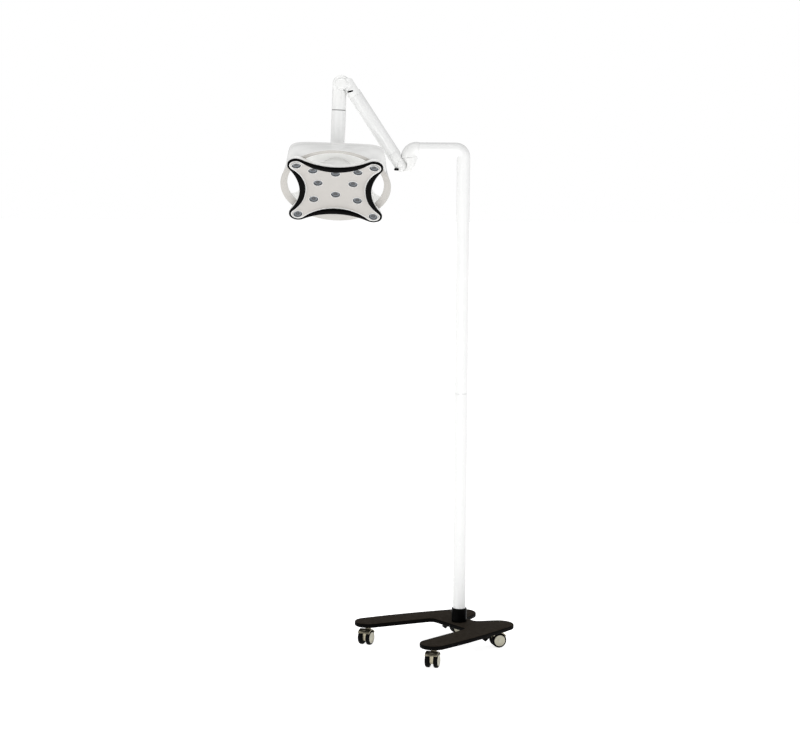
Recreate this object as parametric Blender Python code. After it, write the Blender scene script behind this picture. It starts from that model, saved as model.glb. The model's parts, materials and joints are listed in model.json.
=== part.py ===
"""Mobile surgical light: a four-caster stand, a bent pole, a balanced spring arm and a tilting lamp head.

Metres, +Z up, floor at Z = 0, origin under the middle of the whole light's box.
The lamp faces -Y. The arm reaches towards -X. The base's front legs point between the two.
"""
import math

import bmesh
import bpy
from mathutils import Vector

# ---------------------------------------------------------------- driving dimensions (metres)
GAP = 0.0003                      # air left between pieces that meet
POLE_X, POLE_Y = 0.211577, 0.077946   # the pole's axis, seen from the middle of the light's box

# stand
BASE_HEADING = math.radians(216.3)   # direction of the front legs, from +X
PLATE_TOP = 0.079
PLATE_THICK = 0.016
FRONT_REACH, FRONT_SIDE = 0.250, 0.186     # front leg's end centre, ahead of and beside the pole
REAR_REACH, REAR_SIDE = -0.090, 0.104      # rear wing's end centre
FRONT_END_R, REAR_END_R = 0.047, 0.052
BRIDGE_FRONT, BRIDGE_REAR = 0.042, -0.050
INNER_FRONT_SIDE, INNER_REAR_SIDE = 0.094, 0.027
LEG_BOW = 0.007
STEM_REAR_REACH, STEM_REAR_SIDE = -0.103, 0.112
RECESS = 0.0008                   # depth of the seats under the plate for the caster flanges and the foot bolt
BOLT_HEAD_R = 0.0120

# casters
WHEEL_R, WHEEL_W = 0.025, 0.016
WHEEL_SIDES = 20
TRAIL = 0.018
AXLE_R = 0.003
WEB_HALF = 0.0062
HOOD_HALF = 0.0215
STEM_R = 0.0055
FLANGE_R = 0.0105
CASTER_TURNS = [math.radians(a) for a in (-114.0, -105.0, 196.0, 196.0)]   # where each one trails, from +X

# pole
POLE_R, POLE_WALL = 0.0225, 0.002
COLLAR_R, COLLAR_TOP = 0.026, 0.127
POLE_JOINT_Z = 0.867
SPIGOT_HALF = 0.070
BEND_R = 0.026
ARM_LEVEL_Z = 1.6895
TUBE_END_X = -0.1495

# swivel at the end of the bent pole
SWIVEL_X, SWIVEL_Z = -0.182, 1.6609
ELBOW_R, ELBOW_FLARE = 0.0236, 0.0045     # at the tube, and how much wider it is at the swivel
YOKE_R = 0.0285
YOKE_BOWL_CENTRE, YOKE_BOWL_R = (-0.018, 0.0015), 0.046     # from the swivel's seam
SPINDLE_R, BUSH_R = 0.012, 0.0157
LOWER_PIVOT = Vector((-0.0304, 0.0, -0.0229))      # from the swivel's seam

# spring arm, measured between its two pivots
ARM_RISE = math.radians(56.6)
ARM_LENGTH = 0.3137
ARM_LOW, ARM_HIGH = math.radians(-30.0), math.radians(59.1)
ARM_R, ARM_WALL = 0.023, 0.002
FORK_WEB = 0.030
FORK_END = 0.043
FORK_SLOT = 0.0102
TONGUE_HALF = 0.0098
TIE_DROP = 0.015
PIN_R = 0.0035
TIE_PIN_R = 0.003

# head tube
HANG_LEAN = math.radians(1.8)
TUBE_BACK = 0.030
SEAM_DROP = 0.0838
KNUCKLE_R, DROP_R = 0.0237, 0.0240
DOME_R = 0.030
DOME_CENTRE = (-0.0242, 0.0018)     # from the upper pivot
TILT_DROP = 0.139

# lamp head, in its own frame: X right, Y up the face, Z out of the lamp
FACE_DOWN = math.radians(50.0)
RIM_CENTRE = Vector((0.0, -0.0289, 0.1246))        # from the tilt pin
TILT_PIN = Vector((0.0, 0.0289, -0.1246))          # the same pin, from the rim's centre
STAR_CORNER = 0.127
STAR_STEPS = 6
DISH_RADIUS = 1.30
PANEL_CENTRE_N = 0.0093
LENS_PLACES = [(0.127, 0.127), (0.074, 0.096), (0.058, 0.029), (0.073, -0.055), (0.127, -0.127)]
LENS_MIDDLE = [(0.0, 0.081), (0.0, -0.030)]
LENS_HOLE_R, LENS_R = 0.0160, 0.0152
RIM_R, RIM_HOLE_R, RIM_HOLE_UP = 0.184, 0.1605, 0.0105
SHELL_DEPTH, SHELL_FLOOR = 0.090, 0.084


# ---------------------------------------------------------------- modelling helpers
def material(name, colour, roughness, metallic=0.0):
    """A plain Principled material."""
    mat = bpy.data.materials.new(name)
    mat.use_nodes = True
    shader = mat.node_tree.nodes["Principled BSDF"]
    shader.inputs["Base Color"].default_value = (*colour, 1.0)
    shader.inputs["Roughness"].default_value = roughness
    shader.inputs["Metallic"].default_value = metallic
    return mat


def empty(name, location=(0, 0, 0), rotation=(0, 0, 0), parent=None):
    """A joint axis or a frame that pieces hang on."""
    obj = bpy.data.objects.new(name, None)
    bpy.context.collection.objects.link(obj)
    obj.empty_display_size = 0.03
    obj.parent = parent
    obj.location = location
    obj.rotation_euler = rotation
    return obj


def piece(name, bm, mat, parent, location=(0, 0, 0), rotation=(0, 0, 0)):
    """Turn a bmesh into a named sub-part."""
    bmesh.ops.recalc_face_normals(bm, faces=bm.faces)
    mesh = bpy.data.meshes.new(name)
    bm.to_mesh(mesh)
    bm.free()
    obj = bpy.data.objects.new(name, mesh)
    bpy.context.collection.objects.link(obj)
    obj.parent = parent
    obj.location = location
    obj.rotation_euler = rotation
    if mat:
        mesh.materials.append(mat)
    mesh.shade_smooth()
    mesh.set_sharp_from_angle(angle=math.radians(32))
    return obj


def tool(name, bm, parent, location=(0, 0, 0), rotation=(0, 0, 0)):
    """A hidden solid that a Boolean uses."""
    obj = piece(name, bm, None, parent, location, rotation)
    obj.hide_render = True
    obj.display_type = "WIRE"
    return obj


def combine(obj, other, operation):
    """Cut, join or intersect obj with a tool."""
    mod = obj.modifiers.new(operation.title(), "BOOLEAN")
    mod.operation = operation
    mod.solver = "EXACT"
    mod.object = other


def skin(bm, ring_a, ring_b):
    """Faces between two rings, either of which may be one point on the axis."""
    count = max(len(ring_a), len(ring_b))
    for k in range(count):
        j = (k + 1) % count
        if len(ring_a) == 1:
            bm.faces.new((ring_a[0], ring_b[k], ring_b[j]))
        elif len(ring_b) == 1:
            bm.faces.new((ring_a[k], ring_a[j], ring_b[0]))
        else:
            bm.faces.new((ring_a[k], ring_a[j], ring_b[j], ring_b[k]))


def turned(profile, sides=24, bm=None, centre=(0.0, 0.0)):
    """A solid of revolution about Z. A profile that starts on the axis ends there, any other closes."""
    bm = bm or bmesh.new()
    rings = []
    for radius, height in profile:
        if radius == 0.0:
            rings.append([bm.verts.new((centre[0], centre[1], height))])
            continue
        angles = [2 * math.pi * (k + 0.5) / sides for k in range(sides)]
        rings.append([bm.verts.new((centre[0] + radius * math.cos(a), centre[1] + radius * math.sin(a), height))
                      for a in angles])
    chain = rings if len(rings[0]) == 1 else rings + rings[:1]
    for ring_a, ring_b in zip(chain, chain[1:]):
        skin(bm, ring_a, ring_b)
    return bm


def rod(radius, low, high, sides=24, bevel=0.0, bm=None, centre=(0.0, 0.0)):
    """A plain round bar along Z, with an optional chamfer."""
    if bevel:
        profile = [(0.0, low), (radius - bevel, low), (radius, low + bevel),
                   (radius, high - bevel), (radius - bevel, high), (0.0, high)]
    else:
        profile = [(0.0, low), (radius, low), (radius, high), (0.0, high)]
    return turned(profile, sides, bm, centre)


def sleeve(outer, inner, low, high, sides=24):
    """A round tube along Z."""
    return turned([(inner, low), (outer, low), (outer, high), (inner, high)], sides)


def lofted(loops, closed=False, bm=None):
    """A skin over loops of 3-D points, capped at both ends unless it closes on itself."""
    bm = bm or bmesh.new()
    rings = [[bm.verts.new(p) for p in loop] for loop in loops]
    chain = rings + rings[:1] if closed else rings
    for ring_a, ring_b in zip(chain, chain[1:]):
        skin(bm, ring_a, ring_b)
    if not closed:
        bm.faces.new(rings[0])
        bm.faces.new(rings[-1])
    return bm


def extruded(outline, low, high, bm=None):
    """A flat outline pushed along Z."""
    return lofted([[(x, y, low) for x, y in outline], [(x, y, high) for x, y in outline]], bm=bm)


def arc(centre, radius, start, end, steps):
    """Points on an arc, both ends included."""
    span = (end - start) / steps
    return [(centre[0] + radius * math.cos(start + span * k), centre[1] + radius * math.sin(start + span * k))
            for k in range(steps + 1)]


def bend(centre, radius, start, end, steps):
    """Stations (x, z, heading) of a bent tube's middle line."""
    way = math.copysign(math.pi / 2, end - start)
    angles = [start + (end - start) * k / steps for k in range(steps + 1)]
    return [(centre[0] + radius * math.cos(a), centre[1] + radius * math.sin(a), a + way) for a in angles]


def pipe(stations, outer, inner, sides=24, flare=0.0):
    """A bent tube or bar through (x, z, heading) stations, each cut square to its heading in the XZ plane.

    flare is how much wider it is at its first station than at its last.
    """
    last = len(stations) - 1
    frames = [(Vector((x, 0, z)), Vector((-math.sin(h), 0, math.cos(h))), flare * (1 - k / last))
              for k, (x, z, h) in enumerate(stations)]
    angles = [2 * math.pi * (k + 0.5) / sides for k in range(sides)]

    def loop(frame, radius):
        centre, normal, extra = frame
        return [centre + (normal * math.cos(a) + Vector((0, math.sin(a), 0))) * (radius + extra) for a in angles]

    loops = [loop(f, outer) for f in frames]
    if inner:
        loops += [loop(f, inner) for f in reversed(frames)]
    return lofted(loops, bool(inner))


ALONG_X = (math.radians(90), 0.0, math.radians(90))   # a Z solid runs along X, its outline in Y and Z
ALONG_Y = (math.radians(90), 0.0, 0.0)                # a Z solid runs along Y, its outline in X and Z


def swing(centre, radius, reach, start, end):
    """The outline swept by a bar of half-width radius that pivots from one direction to another."""
    points = arc(centre, radius, end + math.pi / 2, start + 1.5 * math.pi, 10)
    low = (math.cos(start), math.sin(start))
    points.append((points[-1][0] + reach * low[0], points[-1][1] + reach * low[1]))
    middle = 0.5 * (start + end)
    wide = 1.6 * reach
    points.append((centre[0] + wide * math.cos(middle), centre[1] + wide * math.sin(middle)))
    high = (math.cos(end), math.sin(end))
    points.append((points[0][0] + reach * high[0], points[0][1] + reach * high[1]))
    return points


# ---------------------------------------------------------------- materials
def make_materials():
    return {
        "white": material("white_enamel", (0.83, 0.83, 0.82), 0.28),
        "shell": material("white_gloss_shell", (0.85, 0.85, 0.84), 0.18),
        "black": material("black_powder_coat", (0.030, 0.027, 0.024), 0.42),
        "bezel": material("black_plastic", (0.010, 0.010, 0.011), 0.35),
        "panel": material("warm_grey_panel", (0.62, 0.60, 0.57), 0.45),
        "lens": material("lens", (0.10, 0.12, 0.14), 0.10),
        "steel": material("steel", (0.60, 0.60, 0.60), 0.30, 1.0),
        "zinc": material("zinc", (0.56, 0.53, 0.46), 0.35, 1.0),
        "rubber": material("black_tyre", (0.015, 0.015, 0.015), 0.70),
        "nylon": material("nylon", (0.55, 0.54, 0.50), 0.50),
        "dark": material("dark_nylon", (0.03, 0.03, 0.03), 0.50),
        "alloy": material("aluminium", (0.70, 0.70, 0.71), 0.35, 1.0),
        "board": material("circuit_board", (0.05, 0.22, 0.10), 0.50),
    }


# ---------------------------------------------------------------- stand
def plate_half_outline():
    """One side of the plate, from the bridge's front middle round to its rear middle (forward, sideways)."""
    fillet = 0.018
    front, rear = (FRONT_REACH, FRONT_SIDE), (REAR_REACH, REAR_SIDE)
    inner_dir = math.atan2(front[1] - FRONT_END_R - INNER_FRONT_SIDE, front[0] - BRIDGE_FRONT)
    outer_dir = math.atan2(front[1] + FRONT_END_R - rear[1] - REAR_END_R, front[0] - rear[0])
    points = [(BRIDGE_FRONT, INNER_FRONT_SIDE - fillet * 0.8)]
    points += [(BRIDGE_FRONT + fillet * 0.22, INNER_FRONT_SIDE - fillet * 0.2)]
    points += [(BRIDGE_FRONT + fillet, INNER_FRONT_SIDE + fillet * math.tan(inner_dir) + 0.0005)]
    points += arc(front, FRONT_END_R, inner_dir - math.pi / 2, outer_dir + math.pi / 2, 10)
    start, end = points[-1], arc(rear, REAR_END_R, outer_dir + math.pi / 2, math.pi, 2)[0]
    steps = 5
    for k in range(1, steps):
        f = k / steps
        bow = LEG_BOW * 4 * f * (1 - f)
        points.append((start[0] + (end[0] - start[0]) * f, start[1] + (end[1] - start[1]) * f + bow))
    rear_inner = math.atan2(rear[1] - INNER_REAR_SIDE, rear[0] - BRIDGE_REAR) + math.pi / 2
    offset = math.asin(min(1.0, REAR_END_R / math.dist(rear, (BRIDGE_REAR, INNER_REAR_SIDE))))
    points += arc(rear, REAR_END_R, outer_dir + math.pi / 2, rear_inner + offset, 8)
    points += [(BRIDGE_REAR, INNER_REAR_SIDE)]
    return points


def make_base_plate(mats, base):
    half = plate_half_outline()
    outline = half + [(a, -b) for a, b in reversed(half)]
    inset = 0.003
    low, high = PLATE_TOP - PLATE_THICK, PLATE_TOP
    bm = extruded(outline, low, high)
    plate = piece("base_plate", bm, mats["black"], base)
    bevel = plate.modifiers.new("Edge", "BEVEL")
    bevel.width = inset
    bevel.segments = 1
    bevel.limit_method = "ANGLE"
    bevel.angle_limit = math.radians(50)
    bores = bmesh.new()
    for a, b in caster_places():
        rod(STEM_R + GAP, low - 0.01, high - 0.004, 16, bm=bores, centre=(a, b))
    rod(0.0083, low - 0.01, high + 0.01, 16, bm=bores)
    combine(plate, tool("plate_bores", bores, base), "DIFFERENCE")
    recesses = bmesh.new()
    for a, b in caster_places():
        rod(FLANGE_R + 0.0008, low - 0.01, low + RECESS, 16, bm=recesses, centre=(a, b))
    rod(BOLT_HEAD_R + 0.0006, low - 0.01, low + RECESS, 16, bm=recesses)
    combine(plate, tool("plate_recesses", recesses, base), "DIFFERENCE")
    return plate


def caster_places():
    """The four stems: front left, front right, rear left, rear right (forward, sideways)."""
    return [(FRONT_REACH, -FRONT_SIDE), (FRONT_REACH, FRONT_SIDE),
            (STEM_REAR_REACH, -STEM_REAR_SIDE), (STEM_REAR_REACH, STEM_REAR_SIDE)]


def make_caster(mats, base, name, place, turn, braked):
    """A twin-wheel caster. Its own frame: X towards the trailing wheels, Y along the axle."""
    under = PLATE_TOP - PLATE_THICK
    swivel = empty(name + "_swivel", (*place, 0.0), (0, 0, turn - BASE_HEADING), base)
    spin = empty(name + "_spin", (TRAIL, 0.0, WHEEL_R), (0, 0, 0), swivel)

    def side(points):
        return [(x, z - WHEEL_R) for x, z in points]

    hood_in, hood_out = WHEEL_R + 0.0012, WHEEL_R + 0.0040
    hood = arc((0, 0), hood_out, math.radians(38), math.radians(150), 8)
    hood += arc((0, 0), hood_in, math.radians(150), math.radians(38), 8)
    fork = piece(name + "_fork", extruded(hood, -HOOD_HALF, HOOD_HALF), mats["zinc"], spin, rotation=ALONG_Y)
    web = arc((0, 0), 0.0145, math.radians(-200), math.radians(20), 8)
    web += [(0.0135, 0.0262), (-0.002, 0.0282), (-0.0240, 0.0120)]
    if braked:
        web = [p for p in web if p[0] < 0.0145 or p[1] < 0.0]
        web = web[:-3] + [(0.0285, 0.0080)] + arc((0.0310, 0.0115), 0.0042, math.radians(-60), math.radians(90), 5)
        web += [(0.0240, 0.0150), (0.0150, 0.0262), (-0.002, 0.0282), (-0.0240, 0.0120)]
    combine(fork, tool(name + "_web", extruded(web, -WEB_HALF, WEB_HALF), spin, rotation=ALONG_Y), "UNION")
    stem = rod(STEM_R, 0.0272, PLATE_TOP - 0.0048 - WHEEL_R, 16, bm=None)
    combine(fork, tool(name + "_stem", stem, spin, (-TRAIL, 0, 0)), "UNION")
    flange = rod(FLANGE_R, 0.0250, under - 0.0006 - WHEEL_R, 16)
    combine(fork, tool(name + "_flange", flange, spin, (-TRAIL, 0, 0)), "UNION")
    bore = rod(AXLE_R + GAP, -0.02, 0.02, 16)
    combine(fork, tool(name + "_axle_bore", bore, spin, rotation=ALONG_Y), "DIFFERENCE")

    piece(name + "_axle", rod(AXLE_R, -0.0215, 0.0215, 12), mats["steel"], spin, rotation=ALONG_Y)
    flat_r = WHEEL_R / math.cos(math.pi / WHEEL_SIDES)
    inner_face, outer_face = WEB_HALF + 0.0008, WEB_HALF + 0.0008 + WHEEL_W
    profile = [(AXLE_R + GAP, inner_face), (flat_r - 0.0020, inner_face), (flat_r, inner_face + 0.0020),
               (flat_r, outer_face - 0.0045), (flat_r - 0.0045, outer_face), (AXLE_R + GAP, outer_face)]
    for label, flip in (("inner", 0.0), ("outer", math.pi)):
        wheel = turned(profile, WHEEL_SIDES)
        turn_face = (math.radians(90) + flip, 0.0, 0.0)
        piece(name + "_wheel_" + label, wheel, mats["rubber"], spin, rotation=turn_face)
    if braked:
        make_brake(mats, name, spin, fork)


def make_brake(mats, name, spin, fork):
    """A foot lever on a small pin, ahead of the rear casters' wheels."""
    pivot = (0.0310, 0.0115)
    pin_hole = rod(0.0022, -0.02, 0.02, 12)
    combine(fork, tool(name + "_lever_bore", pin_hole, spin, (pivot[0], 0, pivot[1]), ALONG_Y), "DIFFERENCE")
    hinge = empty(name + "_brake", (pivot[0], 0.0, pivot[1]), (0, 0, 0), spin)
    pedal = [(-0.0025, 0.0050), (0.0030, 0.0065), (0.0075, 0.0050), (0.0215, -0.0090), (0.0200, -0.0125),
             (0.0165, -0.0125), (0.0040, -0.0015), (-0.0010, -0.0028), (-0.0028, 0.0010)]
    lever = piece(name + "_brake_lever", extruded(pedal, -0.015, 0.015), mats["dark"], hinge, rotation=ALONG_Y)
    slot = [(-0.012, -0.012), (0.0070, -0.012), (0.0070, 0.012), (-0.012, 0.012)]
    half = WEB_HALF + 0.0004
    combine(lever, tool(name + "_lever_slot", extruded(slot, -half, half), hinge, rotation=ALONG_Y), "DIFFERENCE")
    pin = rod(0.0018, -0.010, 0.010, 10)
    combine(lever, tool(name + "_lever_pin", pin, hinge, rotation=ALONG_Y), "UNION")


# ---------------------------------------------------------------- pole
def make_pole(mats, stand):
    inner = POLE_R - POLE_WALL
    piece("pole_collar", sleeve(COLLAR_R, POLE_R + GAP, PLATE_TOP + GAP, COLLAR_TOP), mats["black"], stand)
    lower = piece("lower_pole", sleeve(POLE_R, inner, PLATE_TOP + GAP, POLE_JOINT_Z), mats["white"], stand)
    plug = turned([(0.0053, PLATE_TOP + GAP), (inner - GAP, PLATE_TOP + GAP), (inner - GAP, 0.118),
                   (0.0053, 0.118)], 24)
    piece("foot_plug", plug, mats["steel"], stand)
    head_low = PLATE_TOP - PLATE_THICK + RECESS - GAP - 0.0065
    bolt = turned([(0.0, head_low), (BOLT_HEAD_R, head_low), (BOLT_HEAD_R, head_low + 0.0065),
                   (0.0050, head_low + 0.0065),
                   (0.0050, 0.112), (0.0, 0.112)], 16)
    piece("foot_bolt", bolt, mats["steel"], stand)
    low, high = POLE_JOINT_Z - SPIGOT_HALF, POLE_JOINT_Z + SPIGOT_HALF
    spigot = piece("pole_spigot", sleeve(inner - GAP, inner - 0.003, low, high, 24), mats["steel"], stand)

    corner = (-BEND_R, ARM_LEVEL_Z - BEND_R)
    path = [(0.0, POLE_JOINT_Z + 0.0006, math.pi / 2)] + bend(corner, BEND_R, 0.0, math.pi / 2, 6)
    path += [(TUBE_END_X, ARM_LEVEL_Z, math.pi)]
    upper = piece("upper_pole", pipe(path, POLE_R, inner, 24), mats["white"], stand)
    for label, height, tube in (("lower", low + 0.035, lower), ("upper", high - 0.035, upper)):
        hole = tool("screw_hole_" + label, rod(0.0030, 0.010, 0.030, 12), stand, (0, 0, height),
                    (math.radians(-90), 0, 0))
        combine(tube, hole, "DIFFERENCE")
        combine(spigot, hole, "DIFFERENCE")
        screw = rod(0.0027, 0.0176, POLE_R - 0.0004, 12)
        piece("spigot_screw_" + label, screw, mats["steel"], stand, (0, 0, height), (math.radians(-90), 0, 0))


def make_elbow(mats, stand):
    """The casting on the tube's end that turns down and carries the arm's swivel."""
    centre = (SWIVEL_X + BEND_R, ARM_LEVEL_Z - BEND_R)
    path = [(SWIVEL_X, SWIVEL_Z + 0.0003, math.pi / 2)] + bend(centre, BEND_R, math.pi, math.pi / 2, 6)
    path += [(TUBE_END_X - 0.0004, ARM_LEVEL_Z, 0.0)]
    elbow = piece("arm_elbow", pipe(path, ELBOW_R, None, 24, ELBOW_FLARE), mats["white"], stand)
    spigot_r = POLE_R - POLE_WALL - GAP
    spigot = rod(spigot_r, TUBE_END_X - 0.010, TUBE_END_X + 0.028, 20)
    combine(elbow, tool("elbow_spigot", spigot, stand, (0, 0, ARM_LEVEL_Z), (0, math.radians(90), 0)), "UNION")
    bore = rod(BUSH_R + GAP, -0.01, 0.0262, 24)
    combine(elbow, tool("elbow_bore", bore, stand, (SWIVEL_X, 0, SWIVEL_Z)), "DIFFERENCE")
    way = rod(0.0100, -0.002, 0.090, 16)
    combine(elbow, tool("elbow_cable_way", way, stand, (SWIVEL_X, 0, ARM_LEVEL_Z - 0.004), (0, math.radians(90), 0)),
            "DIFFERENCE")
    bush = sleeve(BUSH_R, SPINDLE_R + GAP, 0.0006, 0.0170, 24)
    piece("swivel_bush", bush, mats["nylon"], stand, (SWIVEL_X, 0, SWIVEL_Z))


# ---------------------------------------------------------------- arm
def tongue_outline(pivot, tie, towards_x):
    """The flat tongue round a pivot and the tie rod's pin below it, joined to its body at towards_x."""
    side = 1 if towards_x > pivot[0] else -1
    top = arc(pivot, 0.0158, math.pi / 2, math.pi, 6) if side > 0 else arc(pivot, 0.0158, math.pi / 2, 0.0, 6)
    foot = arc(tie, 0.0085, math.pi, 1.5 * math.pi, 5) if side > 0 else arc(tie, 0.0085, 0.0, -0.5 * math.pi, 5)
    return top + foot + [(towards_x, tie[1] - 0.0085), (towards_x, pivot[1] + 0.0158)]


def make_swivel(mats, stand):
    """The yoke that turns under the elbow and holds the arm's lower pivot."""
    axis = empty("arm_swivel", (SWIVEL_X, 0, SWIVEL_Z), (0, 0, 0), stand)
    body = turned([(0.0, -0.060), (YOKE_R, -0.060), (YOKE_R, -0.0006), (0.0, -0.0006)], 24)
    yoke = piece("arm_yoke", body, mats["white"], axis)
    dome = arc(YOKE_BOWL_CENTRE, YOKE_BOWL_R, -math.pi, 0, 18) + [(0.040, 0.02), (-0.090, 0.02)]
    combine(yoke, tool("yoke_dome", extruded(dome, -0.04, 0.04), axis, rotation=ALONG_Y), "INTERSECT")
    pivot = (LOWER_PIVOT.x, LOWER_PIVOT.z)
    tie = (pivot[0], pivot[1] - TIE_DROP)
    cut_swing(yoke, "yoke_arm_swing", axis, pivot, math.pi - ARM_HIGH, math.pi - ARM_LOW)
    tongue = extruded(tongue_outline(pivot, tie, 0.008), -TONGUE_HALF, TONGUE_HALF)
    combine(yoke, tool("yoke_tongue", tongue, axis, rotation=ALONG_Y), "UNION")
    cut_tie_slot(yoke, "yoke_tie_slot", axis, tie, math.pi - ARM_HIGH, math.pi - ARM_LOW)
    cut_pin_bores(yoke, "yoke", axis, pivot, tie)

    spindle = turned([(0.0, -0.0200), (0.0055, -0.0200), (0.0055, -0.0003), (SPINDLE_R, -0.0003),
                      (SPINDLE_R, 0.0215), (0.0, 0.0215)], 24)
    combine(yoke, tool("yoke_socket", rod(0.0058, -0.0203, 0.005, 24), axis), "DIFFERENCE")
    spindle_obj = piece("swivel_spindle", spindle, mats["steel"], axis)
    groove = sleeve(SPINDLE_R + 0.002, SPINDLE_R - 0.0015, 0.0173, 0.0190, 24)
    combine(spindle_obj, tool("spindle_groove", groove, axis), "DIFFERENCE")
    ring = sleeve(SPINDLE_R + 0.0020, SPINDLE_R - 0.0012, 0.0176, 0.0187, 24)
    piece("spindle_ring", ring, mats["steel"], axis)
    piece("tie_pin_lower", rod(TIE_PIN_R, -0.0090, 0.0090, 12), mats["steel"], axis, (tie[0], 0, tie[1]), ALONG_Y)
    return axis


def cut_swing(body, name, parent, pivot, start, end):
    """Clear the space outside the tongue that the arm's fork sweeps."""
    outline = swing(pivot, ARM_R + 0.0006, 0.080, start, end)
    bm = extruded(outline, TONGUE_HALF, 0.05)
    extruded(outline, -0.05, -TONGUE_HALF, bm=bm)
    combine(body, tool(name, bm, parent, rotation=ALONG_Y), "DIFFERENCE")


def cut_tie_slot(body, name, parent, tie, start, end):
    """Clear the slot that the tie rod swings in."""
    outline = swing(tie, 0.0078, 0.050, start, end)
    combine(body, tool(name, extruded(outline, -0.0045, 0.0045), parent, rotation=ALONG_Y), "DIFFERENCE")


def cut_pin_bores(body, name, parent, pivot, tie):
    """Bores for the main pin and the tie rod's pin."""
    for label, radius, at in (("_pin_bore", PIN_R + GAP, pivot), ("_tie_bore", TIE_PIN_R + GAP, tie)):
        bore = tool(name + label, rod(radius, -0.03, 0.03, 12), parent, (at[0], 0, at[1]), ALONG_Y)
        combine(body, bore, "DIFFERENCE")


def make_fork(mats, name, arm, at_x, turn, under):
    """A fork at one end of the arm: two cheeks round the pivot and a plug that fills the tube.

    Its own X runs into the arm. under is +1 where its own +Z is the arm's underside.
    """
    frame = empty(name + "_frame", (at_x, 0, 0), (0, turn, 0), arm)
    plug_r = ARM_R - ARM_WALL - GAP
    bar = [(0.0, -0.026), (ARM_R, -0.026), (ARM_R, FORK_END), (plug_r, FORK_END), (plug_r, FORK_END + 0.018),
           (0.0, FORK_END + 0.018)]
    fork = piece(name, turned(bar, 24), mats["white"], frame, rotation=(0, math.radians(90), 0))
    end = arc((0, 0), ARM_R, math.pi / 2, 1.5 * math.pi, 14) + [(0.08, -0.03), (0.08, 0.03)]
    combine(fork, tool(name + "_end", extruded(end, -0.03, 0.03), frame, rotation=ALONG_Y), "INTERSECT")
    slot = [(-0.04, -0.04), (FORK_WEB, -0.04), (FORK_WEB, 0.04), (-0.04, 0.04)]
    combine(fork, tool(name + "_slot", extruded(slot, -FORK_SLOT, FORK_SLOT), frame, rotation=ALONG_Y), "DIFFERENCE")
    low, high = sorted((under * 0.0040, under * 0.0188))
    way = [(FORK_WEB - 0.01, low), (0.08, low), (0.08, high), (FORK_WEB - 0.01, high)]
    combine(fork, tool(name + "_tie_way", extruded(way, -0.0050, 0.0050), frame, rotation=ALONG_Y), "DIFFERENCE")
    bore = rod(PIN_R + GAP, -0.03, 0.03, 12)
    combine(fork, tool(name + "_pin_bore", bore, frame, rotation=ALONG_Y), "DIFFERENCE")
    return fork, frame


def both_sides(outline, inner, outer):
    """The same flat outline on both sides of Y = 0."""
    bm = extruded(outline, inner, outer)
    return extruded(outline, -outer, -inner, bm=bm)


def make_arm(mats, swivel):
    arm = empty("arm_tilt", LOWER_PIVOT, (0, ARM_RISE - math.pi, 0), swivel)
    lower, lower_frame = make_fork(mats, "arm_lower_fork", arm, 0.0, 0.0, 1)
    upper, upper_frame = make_fork(mats, "arm_upper_fork", arm, ARM_LENGTH, math.pi, -1)
    clear = tool("elbow_relief", rod(0.0304, -0.0040, 0.040, 32), swivel)
    combine(lower, clear, "DIFFERENCE")
    seats = both_sides(arc((0, 0), 0.0118, 0, 2 * math.pi, 20)[:-1], 0.0212, 0.030)
    combine(lower, tool("cap_seats", seats, lower_frame, rotation=ALONG_Y), "DIFFERENCE")
    socket = rod(0.0043, FORK_END - 0.001, 0.08, 12)
    along = (0, math.radians(90), 0)
    combine(lower, tool("guide_socket", socket, arm, (0, 0, -0.009), along), "DIFFERENCE")
    flats = both_sides([(-0.04, -0.04), (0.014, -0.04), (0.014, 0.04), (-0.04, 0.04)], 0.0206, 0.030)
    combine(upper, tool("upper_flats", flats, upper_frame, rotation=ALONG_Y), "DIFFERENCE")

    tube = sleeve(ARM_R, ARM_R - ARM_WALL, FORK_END + GAP, ARM_LENGTH - FORK_END - GAP, 24)
    piece("arm_tube", tube, mats["white"], arm, rotation=along)
    guide = rod(0.0040, FORK_END, ARM_LENGTH - 0.065, 12)
    piece("spring_guide", guide, mats["steel"], arm, (0, 0, -0.009), along)
    make_spring(mats, arm)
    piece("pivot_pin_lower", rod(PIN_R, -0.0209, 0.0209, 12), mats["steel"], arm, rotation=ALONG_Y)
    piece("pivot_pin_upper", rod(PIN_R, -0.0203, 0.0203, 12), mats["steel"], arm, (ARM_LENGTH, 0, 0), ALONG_Y)
    for label, flip in (("front", 0.0), ("back", math.pi)):
        cap = rod(0.0090, 0.0215, 0.0230, 16)
        piece("fork_cap_" + label, cap, mats["white"], arm, rotation=(math.radians(90) + flip, 0, 0))
    return arm


def make_spring(mats, arm):
    """The balance spring on its guide, inside the tube."""
    turns, steps, start, end = 9, 8, FORK_END + 0.020, ARM_LENGTH - 0.075
    curve = bpy.data.curves.new("arm_spring", "CURVE")
    curve.dimensions = "3D"
    curve.bevel_depth = 0.0013
    curve.bevel_resolution = 0
    curve.use_fill_caps = True
    line = curve.splines.new("POLY")
    line.points.add(turns * steps)
    for k in range(turns * steps + 1):
        a = 2 * math.pi * k / steps
        x = start + (end - start) * k / (turns * steps)
        line.points[k].co = (x, 0.0062 * math.cos(a), 0.0062 * math.sin(a), 1.0)
    curve.materials.append(mats["steel"])
    obj = bpy.data.objects.new("arm_spring", curve)
    bpy.context.collection.objects.link(obj)
    obj.parent = arm
    obj.location = (0, 0, -0.009)


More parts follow.
